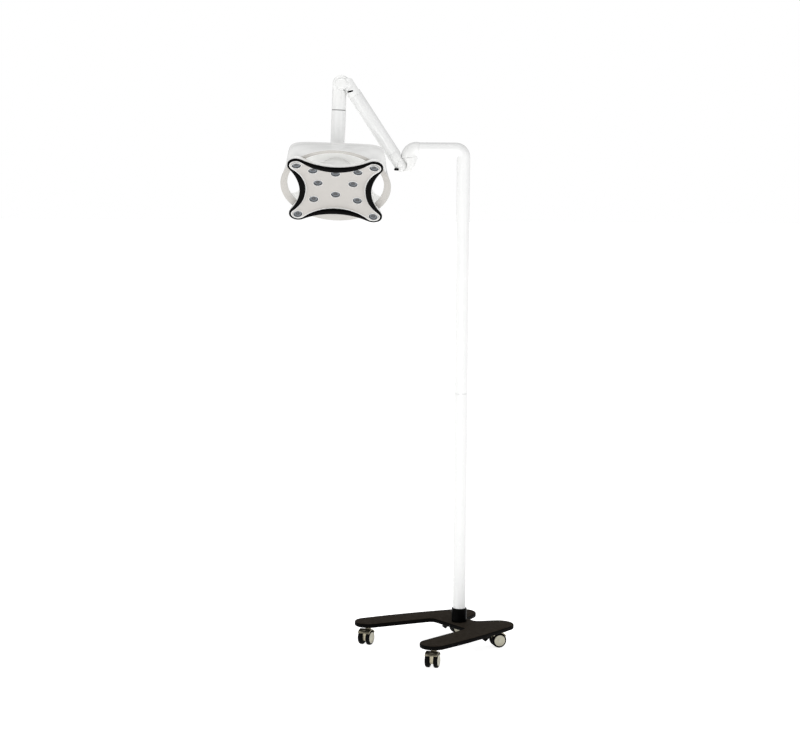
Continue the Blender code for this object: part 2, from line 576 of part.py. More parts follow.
def make_tie_rod(mats, swivel):
    """The rod under the arm that keeps the knuckle upright."""
    axis = empty("tie_rod_axis", (LOWER_PIVOT.x, 0, LOWER_PIVOT.z - TIE_DROP), (0, ARM_RISE - math.pi, 0), swivel)
    neck = 0.365
    outline = arc((ARM_LENGTH, 0), 0.0068, neck - math.pi, math.pi - neck, 12)
    outline += arc((0, 0), 0.0068, neck, 2 * math.pi - neck, 12)
    bar = piece("tie_rod", extruded(outline, -0.0040, 0.0040), mats["steel"], axis, rotation=ALONG_Y)
    eyes = rod(TIE_PIN_R + GAP, -0.01, 0.01, 12)
    rod(TIE_PIN_R + 0.0006, -0.01, 0.01, 12, bm=eyes, centre=(ARM_LENGTH, 0))
    combine(bar, tool("tie_rod_eyes", eyes, axis, rotation=ALONG_Y), "DIFFERENCE")


def make_knuckle(mats, arm):
    """The upright knuckle at the arm's top end. Its own origin is the upper pivot."""
    axis = empty("knuckle_level", (ARM_LENGTH, 0, 0), (0, math.pi - ARM_RISE + HANG_LEAN, 0), arm)
    bottom = -SEAM_DROP + 0.0011
    body = piece("arm_knuckle", rod(KNUCKLE_R, bottom, 0.040, 24), mats["white"], axis)
    body.location = (-TUBE_BACK, 0, 0)
    dome = arc(DOME_CENTRE, DOME_R, 0.0, math.pi, 12) + [(-0.065, -0.10), (0.02, -0.10)]
    combine(body, tool("knuckle_dome", extruded(dome, -0.04, 0.04), axis, rotation=ALONG_Y), "INTERSECT")
    lobe = turned([(0.0, -0.0206), (DOME_R - 0.004, -0.0206), (DOME_R - 0.0002, -0.0165),
                   (DOME_R - 0.0002, 0.0165), (DOME_R - 0.004, 0.0206), (0.0, 0.0206)], 24)
    centre = (DOME_CENTRE[0], 0, DOME_CENTRE[1])
    combine(body, tool("knuckle_lobe", lobe, axis, centre, ALONG_Y), "UNION")
    low, high = HANG_LEAN - ARM_HIGH, HANG_LEAN - ARM_LOW
    cut_swing(body, "knuckle_arm_swing", axis, (0, 0), low, high)
    tie = (TIE_DROP * math.sin(HANG_LEAN), -TIE_DROP * math.cos(HANG_LEAN))
    tongue = extruded(tongue_outline((0, 0), tie, -0.040), -TONGUE_HALF, TONGUE_HALF)
    combine(body, tool("knuckle_tongue", tongue, axis, rotation=ALONG_Y), "UNION")
    cut_tie_slot(body, "knuckle_tie_slot", axis, tie, low, high)
    cut_pin_bores(body, "knuckle", axis, (0, 0), tie)
    seats = both_sides(arc(DOME_CENTRE, 0.0204, 0, 2 * math.pi, 20)[:-1], 0.0207, 0.030)
    combine(body, tool("knuckle_cap_seats", seats, axis, rotation=ALONG_Y), "DIFFERENCE")
    bore = rod(0.0114, -SEAM_DROP - 0.001, -SEAM_DROP + 0.0430, 20)
    combine(body, tool("knuckle_bore", bore, axis, (-TUBE_BACK, 0, 0)), "DIFFERENCE")
    for label, flip in (("front", 0.0), ("back", math.pi)):
        cap = rod(0.0198, 0.0210, 0.0234, 20, 0.0010)
        turn = (math.radians(90) + flip, 0, 0)
        piece("knuckle_cap_" + label, cap, mats["white"], axis, centre, turn)
    piece("tie_pin_upper", rod(TIE_PIN_R, -0.0090, 0.0090, 12), mats["steel"], axis, (tie[0], 0, tie[1]), ALONG_Y)
    ring = sleeve(KNUCKLE_R - 0.0010, 0.0114, -0.0008, 0.0008, 24)
    piece("seam_ring", ring, mats["dark"], axis, (-TUBE_BACK, 0, -SEAM_DROP))
    return axis


# ---------------------------------------------------------------- head
def make_drop_tube(mats, knuckle):
    """The tube that hangs from the knuckle and turns, with the tongue that carries the lamp."""
    axis = empty("head_swivel", (-TUBE_BACK, 0, -SEAM_DROP), (0, 0, 0), knuckle)
    end = -TILT_DROP + 0.0240
    tube = turned([(0.0113, -0.0011), (DROP_R, -0.0011), (DROP_R, end), (0.0210, end), (0.0210, -0.0220),
                   (0.0113, -0.0220)], 24)
    piece("drop_tube", tube, mats["white"], axis)
    spindle = turned([(0.0, -0.0270), (0.0160, -0.0270), (0.0160, -0.0223), (0.0110, -0.0223),
                      (0.0110, 0.0420), (0.0, 0.0420)], 20)
    piece("head_spindle", spindle, mats["steel"], axis)
    tongue = turned([(0.0, end - 0.0065), (DROP_R, end - 0.0065), (DROP_R, end - GAP), (0.0207, end - GAP),
                     (0.0207, end + 0.020), (0.0, end + 0.020)], 24)
    tongue = piece("tilt_tongue", tongue, mats["white"], axis)
    ear = arc((0, -TILT_DROP), 0.0172, math.pi, 2 * math.pi, 14) + [(0.0172, end - 0.003), (-0.0172, end - 0.003)]
    combine(tongue, tool("tongue_ear", extruded(ear, -0.0100, 0.0100), axis, rotation=ALONG_X), "UNION")
    bore = rod(0.0053, -0.03, 0.03, 16)
    combine(tongue, tool("tongue_bore", bore, axis, (0, 0, -TILT_DROP), ALONG_X), "DIFFERENCE")
    return axis


def make_head(mats, swivel):
    tilt = empty("head_tilt", (0, 0, -TILT_DROP), (0, 0, 0), swivel)
    turn = math.pi / 2 + FACE_DOWN
    up = Vector((0, math.cos(turn), math.sin(turn)))
    out = Vector((0, -math.sin(turn), math.cos(turn)))
    face = empty("lamp_face", RIM_CENTRE.y * up + RIM_CENTRE.z * out, (turn, 0, 0), tilt)
    make_bracket(mats, face)
    make_shell(mats, face)
    make_housing(mats, face)
    make_front(mats, face)


def make_bracket(mats, face):
    """The bracket on the shell's back and the pin the lamp tilts on."""
    pin_up, pin_out = TILT_PIN.y, TILT_PIN.z
    seat = -SHELL_DEPTH - GAP
    base = [(-0.030, pin_up - 0.034), (0.030, pin_up - 0.034), (0.036, pin_up - 0.028), (0.036, pin_up + 0.028),
            (0.030, pin_up + 0.034), (-0.030, pin_up + 0.034), (-0.036, pin_up + 0.028), (-0.036, pin_up - 0.028)]
    bracket = piece("tilt_bracket", extruded(base, seat - 0.004, seat), mats["white"], face)
    cheek = arc((pin_up, pin_out), 0.0163, math.pi, 2 * math.pi, 14)
    cheek += [(pin_up + 0.0163, seat - 0.002), (pin_up - 0.0163, seat - 0.002)]
    cheeks = both_sides(cheek, 0.0104, 0.0200)
    combine(bracket, tool("bracket_cheeks", cheeks, face, rotation=ALONG_X), "UNION")
    bore = rod(0.0053, -0.03, 0.03, 16)
    combine(bracket, tool("bracket_bore", bore, face, (0, pin_up, pin_out), ALONG_X), "DIFFERENCE")
    piece("tilt_pin", rod(0.0050, -0.0215, 0.0215, 16, 0.0006), mats["steel"], face, (0, pin_up, pin_out), ALONG_X)


def section(half_wide, half_high, power, middle_up, depth, count=40):
    """A rounded section of the shell, from a circle (power 2) to nearly a rectangle (power 7)."""
    loop = []
    for k in range(count):
        a = 2 * math.pi * (k + 0.5) / count
        c, s = math.cos(a), math.sin(a)
        scale = (abs(c) ** power + abs(s) ** power) ** (-1.0 / power)
        loop.append((half_wide * c * scale, middle_up + half_high * s * scale, -depth))
    return loop


def make_shell(mats, face):
    """The lamp's white cover, open to the front, with a grip window on each side."""
    outside = [(0.1540, 0.1095, 7.0, 0.0035, 0.0900), (0.1600, 0.1165, 6.5, 0.0035, 0.0868),
               (0.1625, 0.1230, 5.5, 0.0035, 0.0760), (0.1650, 0.1390, 4.2, 0.0030, 0.0600),
               (0.1690, 0.1560, 3.0, 0.0020, 0.0400), (0.1750, 0.1700, 2.4, 0.0010, 0.0240),
               (0.1812, 0.1808, 2.05, 0.0, 0.0100), (0.1838, 0.1838, 2.0, 0.0, 0.0030),
               (0.1825, 0.1825, 2.0, 0.0, 0.0)]
    lip = [(RIM_HOLE_R, RIM_HOLE_R, 2.0, RIM_HOLE_UP, 0.0), (RIM_HOLE_R, RIM_HOLE_R, 2.0, RIM_HOLE_UP, 0.0040)]
    inside = [(0.1765, 0.1765, 2.0, 0.0, 0.0062), (0.1700, 0.1652, 2.4, 0.0010, 0.0240),
              (0.1642, 0.1512, 3.0, 0.0020, 0.0400), (0.1602, 0.1342, 4.2, 0.0030, 0.0600),
              (0.1577, 0.1182, 5.5, 0.0035, 0.0755), (0.1545, 0.1110, 6.5, 0.0035, SHELL_FLOOR)]
    shell = piece("head_shell", lofted([section(*s) for s in outside + lip + inside]), mats["shell"], face)
    windows = bmesh.new()
    for side in (-1, 1):
        lofted(grip_window(side * 0.150), bm=windows)
    combine(shell, tool("grip_windows", windows, face), "DIFFERENCE")


def grip_window(middle_x):
    """An oval prism that runs level from the front to the back, behind the rim."""
    half_wide, half_high, middle_z, front_depth, back_y = 0.034, 0.041, 0.012, 0.022, 0.26
    cos, sin = math.cos(FACE_DOWN), math.sin(FACE_DOWN)
    near, far = [], []
    for k in range(24):
        a = 2 * math.pi * (k + 0.5) / 24
        x = middle_x + half_wide * math.cos(a)
        z = middle_z + half_high * math.sin(a)
        y = (front_depth - z * sin) / cos
        near.append((x, z * cos - y * sin, -front_depth))
        far.append((x, z * cos - back_y * sin, -(z * sin + back_y * cos)))
    return [near, far]


def star(corner_r, side):
    """The lamp's four-cornered outline: round corners and hollow sides that pass the middle at side."""
    c = STAR_CORNER
    hollow = (c * c + (c - side) ** 2 - corner_r ** 2) / (2 * (corner_r + c - side))
    reach = math.atan2(side + hollow - c, -c)
    start = math.atan2(c - side - hollow, c)
    points = []
    for quarter in range(4):
        turn = quarter * math.pi / 2
        corner = arc((c, c), corner_r, math.pi / 2 - reach, reach, STAR_STEPS)
        edge = arc((0.0, side + hollow), hollow, start, -math.pi - start, STAR_STEPS)[1:-1]
        for x, y in corner + edge:
            points.append((x * math.cos(turn) - y * math.sin(turn), x * math.sin(turn) + y * math.cos(turn)))
    return points


def dish(x, y):
    """Height of the panel's front face."""
    return min(PANEL_CENTRE_N + (x * x + y * y) / (2 * DISH_RADIUS), 0.0216)


def lens_places():
    """Every lens: those on the middle line and those in mirrored pairs."""
    pairs = [(side * x, y) for x, y in LENS_PLACES for side in (-1, 1)]
    return LENS_MIDDLE + pairs


def make_housing(mats, face):
    """The four-cornered tray with a round tub behind it that stands on the shell's back."""
    floor_n = 0.0014
    tray = extruded(star(0.0262, 0.1140), floor_n, 0.0157)
    housing = piece("lamp_housing", tray, mats["shell"], face)
    hollow = tool("tray_hollow", extruded(star(0.0238, 0.1110), 0.0032, 0.03), face)
    combine(housing, hollow, "DIFFERENCE")
    combine(housing, tool("tub", rod(0.1000, -0.030, 0.0024, 28), face), "UNION")
    combine(housing, tool("tub_hollow", rod(0.0970, -0.0272, 0.010, 28), face), "DIFFERENCE")
    boss = rod(0.050, -SHELL_FLOOR + GAP, -0.0286, 20)
    combine(housing, tool("boss", boss, face), "UNION")
    combine(housing, tool("boss_hollow", rod(0.046, -0.10, -0.0320, 20), face), "DIFFERENCE")

    sink = rod(0.0800, -0.0010, 0.0033, 24)
    sink = piece("heat_sink", sink, mats["alloy"], face)
    fins = bmesh.new()
    for k in range(-3, 4):
        half = math.sqrt(0.076 ** 2 - (0.020 * k) ** 2)
        x = 0.020 * k
        extruded([(x - 0.0015, -half), (x + 0.0015, -half), (x + 0.0015, half), (x - 0.0015, half)],
                 -0.022, 0.0005, bm=fins)
    combine(sink, tool("sink_fins", fins, face), "UNION")
    piece("led_board", extruded(star(0.0226, 0.0990), 0.0036, 0.0050), mats["board"], face)


def make_front(mats, face):
    """The lenses, the hollowed grey panel in front of them, and the black frame round it."""
    sheet = piece("lens_sheet", extruded(star(0.0226, 0.0990), 0.0053, 0.0065), mats["lens"], face)
    lenses = bmesh.new()
    holes = bmesh.new()
    for x, y in lens_places():
        top = dish(x, y) + 0.0010
        rod(LENS_R, 0.0060, top, 12, bm=lenses, centre=(x, y))
        rod(LENS_HOLE_R, 0.0, 0.04, 12, bm=holes, centre=(x, y))
    combine(sheet, tool("lenses", lenses, face), "UNION")

    outline = star(0.0232, 0.0994)
    loops = []
    for thick, scales in ((0.0, (0.45, 0.75, 1.0)), (0.0020, (1.0, 0.75, 0.45))):
        for s in scales:
            loops.append([(x * s, y * s, dish(x * s, y * s) - thick) for x, y in outline])
    panel = piece("front_panel", lofted(loops), mats["panel"], face)
    combine(panel, tool("lens_holes", holes, face), "DIFFERENCE")

    outer, inner = star(0.0300, 0.1190), star(0.0240, 0.1000)
    top_outer, top_inner = star(0.0292, 0.1182), star(0.0246, 0.1006)
    loops = [[(x, y, n) for x, y in points] for points, n in
             ((inner, 0.0160), (outer, 0.0160), (outer, 0.0232), (top_outer, 0.0240), (top_inner, 0.0240),
              (inner, 0.0234))]
    piece("bezel", lofted(loops, closed=True), mats["bezel"], face)


# ---------------------------------------------------------------- assembly
def build():
    for obj in list(bpy.data.objects):
        bpy.data.objects.remove(obj, do_unlink=True)
    mats = make_materials()
    stand = empty("stand", (POLE_X, POLE_Y, 0.0))
    base = empty("base_heading", (0, 0, 0), (0, 0, BASE_HEADING), stand)
    make_base_plate(mats, base)
    names = ("caster_front_left", "caster_front_right", "caster_rear_left", "caster_rear_right")
    for name, place, turn in zip(names, caster_places(), CASTER_TURNS):
        make_caster(mats, base, name, place, turn, name.startswith("caster_rear"))
    make_pole(mats, stand)
    make_elbow(mats, stand)
    swivel = make_swivel(mats, stand)
    arm = make_arm(mats, swivel)
    make_tie_rod(mats, swivel)
    knuckle = make_knuckle(mats, arm)
    make_head(mats, make_drop_tube(mats, knuckle))


build()
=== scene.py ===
"""Mobile surgical light: the looks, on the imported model's frame."""
import json
import math

import bmesh
import bpy
from mathutils import Matrix, Vector

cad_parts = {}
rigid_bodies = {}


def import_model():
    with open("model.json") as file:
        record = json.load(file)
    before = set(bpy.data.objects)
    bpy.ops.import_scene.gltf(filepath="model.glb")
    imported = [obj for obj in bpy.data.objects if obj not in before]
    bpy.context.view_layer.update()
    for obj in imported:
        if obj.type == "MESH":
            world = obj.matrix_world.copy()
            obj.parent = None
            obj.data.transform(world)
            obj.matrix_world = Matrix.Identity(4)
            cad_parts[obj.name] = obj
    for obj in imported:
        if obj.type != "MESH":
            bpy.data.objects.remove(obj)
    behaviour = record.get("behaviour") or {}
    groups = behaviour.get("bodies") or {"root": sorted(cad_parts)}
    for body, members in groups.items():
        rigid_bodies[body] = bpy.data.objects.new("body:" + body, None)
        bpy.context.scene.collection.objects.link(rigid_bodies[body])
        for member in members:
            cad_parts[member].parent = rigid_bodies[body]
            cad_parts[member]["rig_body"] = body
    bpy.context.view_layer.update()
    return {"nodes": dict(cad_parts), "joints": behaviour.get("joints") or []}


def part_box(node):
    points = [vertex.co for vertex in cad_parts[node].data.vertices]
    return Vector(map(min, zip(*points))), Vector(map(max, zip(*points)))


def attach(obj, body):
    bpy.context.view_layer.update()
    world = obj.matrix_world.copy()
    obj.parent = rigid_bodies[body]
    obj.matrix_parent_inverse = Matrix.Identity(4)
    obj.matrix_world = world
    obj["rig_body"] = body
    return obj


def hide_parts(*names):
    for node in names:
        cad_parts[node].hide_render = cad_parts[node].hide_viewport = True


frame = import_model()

NODES = frame["nodes"]
JOINTS = {j["name"]: j for j in frame["joints"]}


def middle(node):
    low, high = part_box(node)
    return (low + high) / 2


POLE = middle("lower_pole")
POLE_X, POLE_Y = POLE.x, POLE.y
FRONT, BACK = Vector((0, -1, 0)), Vector((0, 1, 0))


# ---------------------------------------------------------------- camera
FOCAL_LENGTH = 88.8975                      # mm, on a sensor 36 mm wide
CAMERA_LEFT, CAMERA_AWAY, CAMERA_HIGH = 0.2081, 6.6477, 1.6864      # m, from the pole's foot
CAMERA_DOWN, CAMERA_ROLL = 0.11222, 0.0061964                       # radians


def make_camera():
    """Level with the lamp, looking a little down, with a hair of roll."""
    data = bpy.data.cameras.new("camera")
    data.sensor_width = 36.0
    data.lens = FOCAL_LENGTH
    data.clip_end = 60
    cam = bpy.data.objects.new("camera", data)
    bpy.context.scene.collection.objects.link(cam)
    place = Matrix.Translation((POLE_X - CAMERA_LEFT, POLE_Y - CAMERA_AWAY, CAMERA_HIGH))
    pitch = Matrix.Rotation(math.pi / 2 - CAMERA_DOWN, 4, "X")
    cam.matrix_world = place @ pitch @ Matrix.Rotation(CAMERA_ROLL, 4, "Z")
    bpy.context.scene.camera = cam


# ---------------------------------------------------------------- materials
def nodes_of(name):
    """A new material, its node tree and its shader."""
    mat = bpy.data.materials.new(name)
    mat.use_nodes = True
    tree = mat.node_tree
    return mat, tree, tree.nodes["Principled BSDF"]


def noise(tree, scale, detail=3.0, stretch=None):
    """A noise texture in object space, metres."""
    coord = tree.nodes.new("ShaderNodeTexCoord")
    tex = tree.nodes.new("ShaderNodeTexNoise")
    tex.inputs["Scale"].default_value = scale
    tex.inputs["Detail"].default_value = detail
    if stretch:
        mapping = tree.nodes.new("ShaderNodeMapping")
        mapping.inputs["Scale"].default_value = stretch
        tree.links.new(coord.outputs["Object"], mapping.inputs["Vector"])
        tree.links.new(mapping.outputs["Vector"], tex.inputs["Vector"])
    else:
        tree.links.new(coord.outputs["Object"], tex.inputs["Vector"])
    return tex


def spread(tree, source, low, high):
    """A noise's middle range, 0.3 to 0.7, carried to low..high."""
    span = tree.nodes.new("ShaderNodeMapRange")
    span.inputs["From Min"].default_value = 0.3
    span.inputs["From Max"].default_value = 0.7
    span.inputs["To Min"].default_value = low
    span.inputs["To Max"].default_value = high
    tree.links.new(source, span.inputs["Value"])
    return span.outputs["Result"]


def surface(name, colour, other, rough, rough_spread=0.05, metallic=0.0, coat=0.0, bump=0.0, bump_scale=900.0,
            blotch=14.0, stretch=None, specular=0.5, painted_glow=0.0):
    """A Principled finish: two close colours blended by a broad noise, uneven roughness and a fine skin."""
    mat, tree, shader = nodes_of(name)
    broad = noise(tree, blotch, 4.0, stretch)
    mix = tree.nodes.new("ShaderNodeMix")
    mix.data_type = "RGBA"
    mix.inputs["A"].default_value = (*colour, 1)
    mix.inputs["B"].default_value = (*other, 1)
    tree.links.new(spread(tree, broad.outputs["Fac"], 0.0, 1.0), mix.inputs["Factor"])
    tree.links.new(mix.outputs["Result"], shader.inputs["Base Color"])
    fine = noise(tree, blotch * 6, 3.0, stretch)
    tree.links.new(spread(tree, fine.outputs["Fac"], rough - rough_spread, rough + rough_spread),
                   shader.inputs["Roughness"])
    shader.inputs["Metallic"].default_value = metallic
    shader.inputs["Specular IOR Level"].default_value = specular
    shader.inputs["Coat Weight"].default_value = coat
    shader.inputs["Coat Roughness"].default_value = 0.08
    # painted_glow makes a surface that is no lamp give off light: painted light.
    shader.inputs["Emission Color"].default_value = (1.0, 1.0, 0.985, 1.0)
    shader.inputs["Emission Strength"].default_value = painted_glow
    if bump:
        skin = noise(tree, bump_scale, 2.0, stretch)
        relief = tree.nodes.new("ShaderNodeBump")
        relief.inputs["Strength"].default_value = bump
        relief.inputs["Distance"].default_value = 0.0004
        tree.links.new(skin.outputs["Fac"], relief.inputs["Height"])
        tree.links.new(relief.outputs["Normal"], shader.inputs["Normal"])
    return mat


def make_materials():
    return {
        "enamel": surface("white_enamel", (0.80, 0.80, 0.79), (0.77, 0.775, 0.77), 0.30, 0.05, coat=0.35,
                          bump=0.10, bump_scale=420),
        "tube": surface("white_tube_enamel", (0.80, 0.80, 0.795), (0.775, 0.78, 0.775), 0.24, 0.04, coat=0.4,
                        bump=0.08, bump_scale=420),
        # The shell's white inside, with a faint glow of painted bounce light though it is no lamp.
        "inner": surface("white_inside_painted_glow", (0.86, 0.86, 0.85), (0.84, 0.84, 0.83), 0.45, 0.05,
                         bump=0.10, bump_scale=420, painted_glow=0.20),
        "shell": surface("white_gloss_moulding", (0.85, 0.85, 0.84), (0.83, 0.83, 0.82), 0.20, 0.03, coat=0.5,
                         bump=0.05, bump_scale=260, blotch=8),
        # The white shell's rim front face, painted warm grey as painted shade where it faces down.
        "ring": surface("rim_face_painted_shade", (0.44, 0.425, 0.40), (0.42, 0.405, 0.38), 0.42, 0.05, bump=0.10,
                        bump_scale=1800, blotch=10),
        "base": surface("black_brown_powder_coat", (0.024, 0.019, 0.014), (0.034, 0.028, 0.022), 0.68, 0.06,
                        bump=0.25, bump_scale=1300, blotch=60, specular=0.01),
        # The plate's sides: the same coat as its top, painted near black as painted shade.
        "edge": surface("plate_edge_painted_shade", (0.0012, 0.0011, 0.0010), (0.0024, 0.0022, 0.0020), 0.55, 0.06,
                        bump=0.15, bump_scale=900, specular=0.02),
        "collar": surface("black_gloss_collar", (0.0008, 0.0008, 0.0008), (0.0014, 0.0014, 0.0014), 0.34,
                          0.05, bump=0.08, specular=0.02),
        "bezel": surface("black_satin_moulding", (0.0010, 0.0010, 0.0010), (0.0018, 0.0018, 0.0018), 0.50,
                         0.06, bump=0.12, bump_scale=1500, specular=0.02),
        "panel": surface("warm_grey_panel", (0.44, 0.42, 0.398), (0.415, 0.40, 0.378), 0.46, 0.05,
                         bump=0.15, bump_scale=2200, blotch=22),
        "rim": surface("lens_rim", (0.70, 0.70, 0.69), (0.66, 0.66, 0.65), 0.28, 0.04, bump=0.05),
        # The cup round each light and the disc behind it: painted near black as painted shade in the recess.
        "cup": surface("cup_painted_shade", (0.020, 0.022, 0.026), (0.034, 0.036, 0.040), 0.30, 0.04, blotch=120,
                       specular=0.3),
        "glass": surface("smoked_reflector", (0.10, 0.112, 0.13), (0.135, 0.148, 0.165), 0.18, 0.04,
                         metallic=0.6, coat=0.5, blotch=160),
        "optic": surface("dark_optic", (0.010, 0.012, 0.014), (0.016, 0.018, 0.022), 0.06, 0.02, coat=0.8,
                         blotch=90),
        "steel": surface("machined_steel", (0.56, 0.56, 0.55), (0.50, 0.50, 0.50), 0.28, 0.06, metallic=1.0,
                         bump=0.12, bump_scale=2500, stretch=(1, 1, 6)),
        "zinc": surface("yellow_zinc", (0.40, 0.365, 0.26), (0.30, 0.275, 0.21), 0.32, 0.08, metallic=0.9,
                        bump=0.08, blotch=60),
        "tyre": surface("black_tread", (0.0012, 0.0012, 0.0014), (0.0030, 0.0030, 0.0032), 0.60, 0.08,
                        bump=0.35, bump_scale=2600, blotch=50, specular=0.03),
        "cap": surface("cream_wheel_cap", (0.46, 0.44, 0.34), (0.41, 0.39, 0.31), 0.36, 0.05,
                       bump=0.08, blotch=50),
        # Black nylon for the brake levers and seam ring; also the blocks that stand in for shade under the
        # forks, as painted shade.
        "dark": surface("dark_nylon", (0.0012, 0.0012, 0.0012), (0.0028, 0.0028, 0.0028), 0.5, 0.06, bump=0.1,
                        specular=0.04),
        "nylon": surface("natural_nylon", (0.62, 0.60, 0.54), (0.57, 0.55, 0.50), 0.45, 0.05, bump=0.05),
        "alloy": surface("aluminium", (0.70, 0.70, 0.71), (0.62, 0.62, 0.63), 0.32, 0.06, metallic=1.0,
                         bump=0.1, stretch=(1, 8, 1)),
        "board": surface("green_circuit_board", (0.02, 0.13, 0.05), (0.03, 0.17, 0.07), 0.35, 0.05, coat=0.3,
                         blotch=160),
    }


# ---------------------------------------------------------------- mesh helpers
def finish_mesh(name, bm, mats, body, replaced=(), angle=35.0, matrix=None):
    """A bmesh becomes a shown piece that rides on a body."""
    bmesh.ops.recalc_face_normals(bm, faces=bm.faces)
    if matrix is not None:
        bm.transform(matrix)
    mesh = bpy.data.meshes.new(name)
    bm.to_mesh(mesh)
    bm.free()
    mesh.shade_smooth()
    mesh.set_sharp_from_angle(angle=math.radians(angle))
    obj = bpy.data.objects.new(name, mesh)
    bpy.context.scene.collection.objects.link(obj)
    for mat in mats if isinstance(mats, list) else [mats]:
        mesh.materials.append(mat)
    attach(obj, body)
    if replaced:
        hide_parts(*replaced)
    return obj


def turns(count, shift=0.0):
    """Angles evenly round a circle."""
    return [2 * math.pi * (k + shift) / count for k in range(count)]


def skin(bm, ring_a, ring_b, slot=0):
    """The strip of faces between two rings of vertices, either of which can be a single point."""
    count = max(len(ring_a), len(ring_b))
    for k in range(count):
        j = (k + 1) % count
        if len(ring_a) == 1:
            face = bm.faces.new((ring_a[0], ring_b[k], ring_b[j]))
        elif len(ring_b) == 1:
            face = bm.faces.new((ring_a[k], ring_a[j], ring_b[0]))
        else:
            face = bm.faces.new((ring_a[k], ring_a[j], ring_b[j], ring_b[k]))
        face.material_index = slot


def turned(profile, sides, bm=None, matrix=None, slot=0, closed=True):
    """A form turned about Z through (radius, height) points, closed unless it starts on the axis."""
    bm = bm or bmesh.new()
    matrix = matrix or Matrix.Identity(4)
    rings = []
    for radius, height in profile:
        if radius == 0.0:
            points = [Vector((0, 0, height))]
        else:
            points = [Vector((radius * math.cos(a), radius * math.sin(a), height)) for a in turns(sides)]
        rings.append([bm.verts.new(matrix @ p) for p in points])
    chain = rings + rings[:1] if closed and len(rings[0]) > 1 else rings
    for ring_a, ring_b in zip(chain, chain[1:]):
        skin(bm, ring_a, ring_b, slot)
    return bm


def lofted(loops, closed=False, bm=None):
    """A skin through loops of equal count, capped at both ends unless it closes on itself."""
    bm = bm or bmesh.new()
    rings = [[bm.verts.new(p) for p in loop] for loop in loops]
    chain = rings + rings[:1] if closed else rings
    for ring_a, ring_b in zip(chain, chain[1:]):
        skin(bm, ring_a, ring_b)
    if not closed:
        bm.faces.new(rings[0])
        bm.faces.new(rings[-1])
    return bm


def arc(centre, radius, start, end, steps):
    span = (end - start) / steps
    return [(centre[0] + radius * math.cos(start + span * k), centre[1] + radius * math.sin(start + span * k))
            for k in range(steps + 1)]


def eased(start, corner, end, steps):
    """The soft curve that cuts a corner, from start to end."""
    points = []
    for k in range(steps + 1):
        f = k / steps
        point = start * (1 - f) ** 2 + corner * 2 * f * (1 - f) + end * f ** 2
        points.append((point.x, point.y))
    return points


def rounded(profile, radius, steps=4):
    """The profile with its inner corners rounded, for points that aren't on the axis."""
    out = [profile[0]]
    for before, here, after in zip(profile, profile[1:], profile[2:]):
        p, q, r = Vector(before), Vector(here), Vector(after)
        a, b = (p - q), (r - q)
        reach = min(radius, a.length * 0.45, b.length * 0.45)
        if reach < 1e-5 or here[0] == 0.0:
            out.append(here)
        else:
            out += eased(q + a.normalized() * reach, q, q + b.normalized() * reach, steps)
    out.append(profile[-1])
    return out


def inset(points, distance):
    """The outline moved to the left of its direction, along its corner normals."""
    out = []
    count = len(points)
    for k in range(count):
        before, here, after = Vector(points[k - 1]), Vector(points[k]), Vector(points[(k + 1) % count])
        a, b = (here - before).normalized(), (after - here).normalized()
        normal = Vector((-(a.y + b.y), a.x + b.x))
        normal.normalize()
        scale = 1.0 / max(0.5, normal.dot(Vector((-a.y, a.x))))
        p = here + normal * distance * scale
        out.append((p.x, p.y))
    return out


def at(x, y, z):
    return Matrix.Translation((x, y, z))


def along(point, direction):
    """A frame at point whose Z runs along direction."""
    return Matrix.Translation(point) @ Vector(direction).to_track_quat("Z", "Y").to_matrix().to_4x4()


def bend(centre, radius, start, end, steps):
    """The (x, z, heading) stations of a tube's bend."""
    way = math.copysign(math.pi / 2, end - start)
    return [(x, z, start + (end - start) * k / steps + way)
            for k, (x, z) in enumerate(arc(centre, radius, start, end, steps))]


def hoop(station, radius, sides):
    """A circle across a bent tube, at one of its (x, z, heading) stations."""
    x, z, heading = station
    centre = Vector((x, POLE_Y, z))
    across = Vector((-math.sin(heading), 0, math.cos(heading)))
    return [centre + across * radius * math.cos(a) + Vector((0, radius * math.sin(a), 0))
            for a in turns(sides)]


def break_edges(obj, width, segments, angle):
    bevel = obj.modifiers.new("Edges", "BEVEL")
    bevel.width = width
    bevel.segments = segments
    bevel.limit_method = "ANGLE"
    bevel.angle_limit = math.radians(angle)
    bevel.harden_normals = True


def softened(node, mat, width, segments=2):
    """The CAD node's own shape with its edges broken and its faces smoothed."""
    source = NODES[node]
    bm = bmesh.new()
    bm.from_mesh(source.data)
    bmesh.ops.remove_doubles(bm, verts=bm.verts, dist=0.00002)
    bmesh.ops.dissolve_limit(bm, angle_limit=math.radians(1.0), verts=bm.verts, edges=bm.edges)
    obj = finish_mesh(node + "_finished", bm, mat, source["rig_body"], (node,), 30)
    break_edges(obj, width, segments, 38)


def paint(node, mat):
    """A CAD node kept as it is, with its finish."""
    mesh = NODES[node].data
    mesh.materials.clear()
    mesh.materials.append(mat)
    mesh.shade_smooth()
    mesh.set_sharp_from_angle(angle=math.radians(30))


def bake(obj):
    """Apply the object's modifiers to its mesh."""
    graph = bpy.context.evaluated_depsgraph_get()
    graph.update()
    mesh = bpy.data.meshes.new_from_object(obj.evaluated_get(graph))
    obj.modifiers.clear()
    obj.data = mesh
    mesh.shade_smooth()
    mesh.set_sharp_from_angle(angle=math.radians(38))


def cut_away(obj, name, cutter_bm, place):
    """Take the cutter's closed forms out of the object."""
    bmesh.ops.recalc_face_normals(cutter_bm, faces=cutter_bm.faces)
    cutter_bm.transform(place)
    mesh = bpy.data.meshes.new(name)
    cutter_bm.to_mesh(mesh)
    cutter_bm.free()
    cutter = bpy.data.objects.new(name, mesh)
    bpy.context.scene.collection.objects.link(cutter)
    cut = obj.modifiers.new("Cut", "BOOLEAN")
    cut.operation = "DIFFERENCE"
    cut.solver = "EXACT"
    cut.object = cutter
    bake(obj)
    bpy.data.objects.remove(cutter)


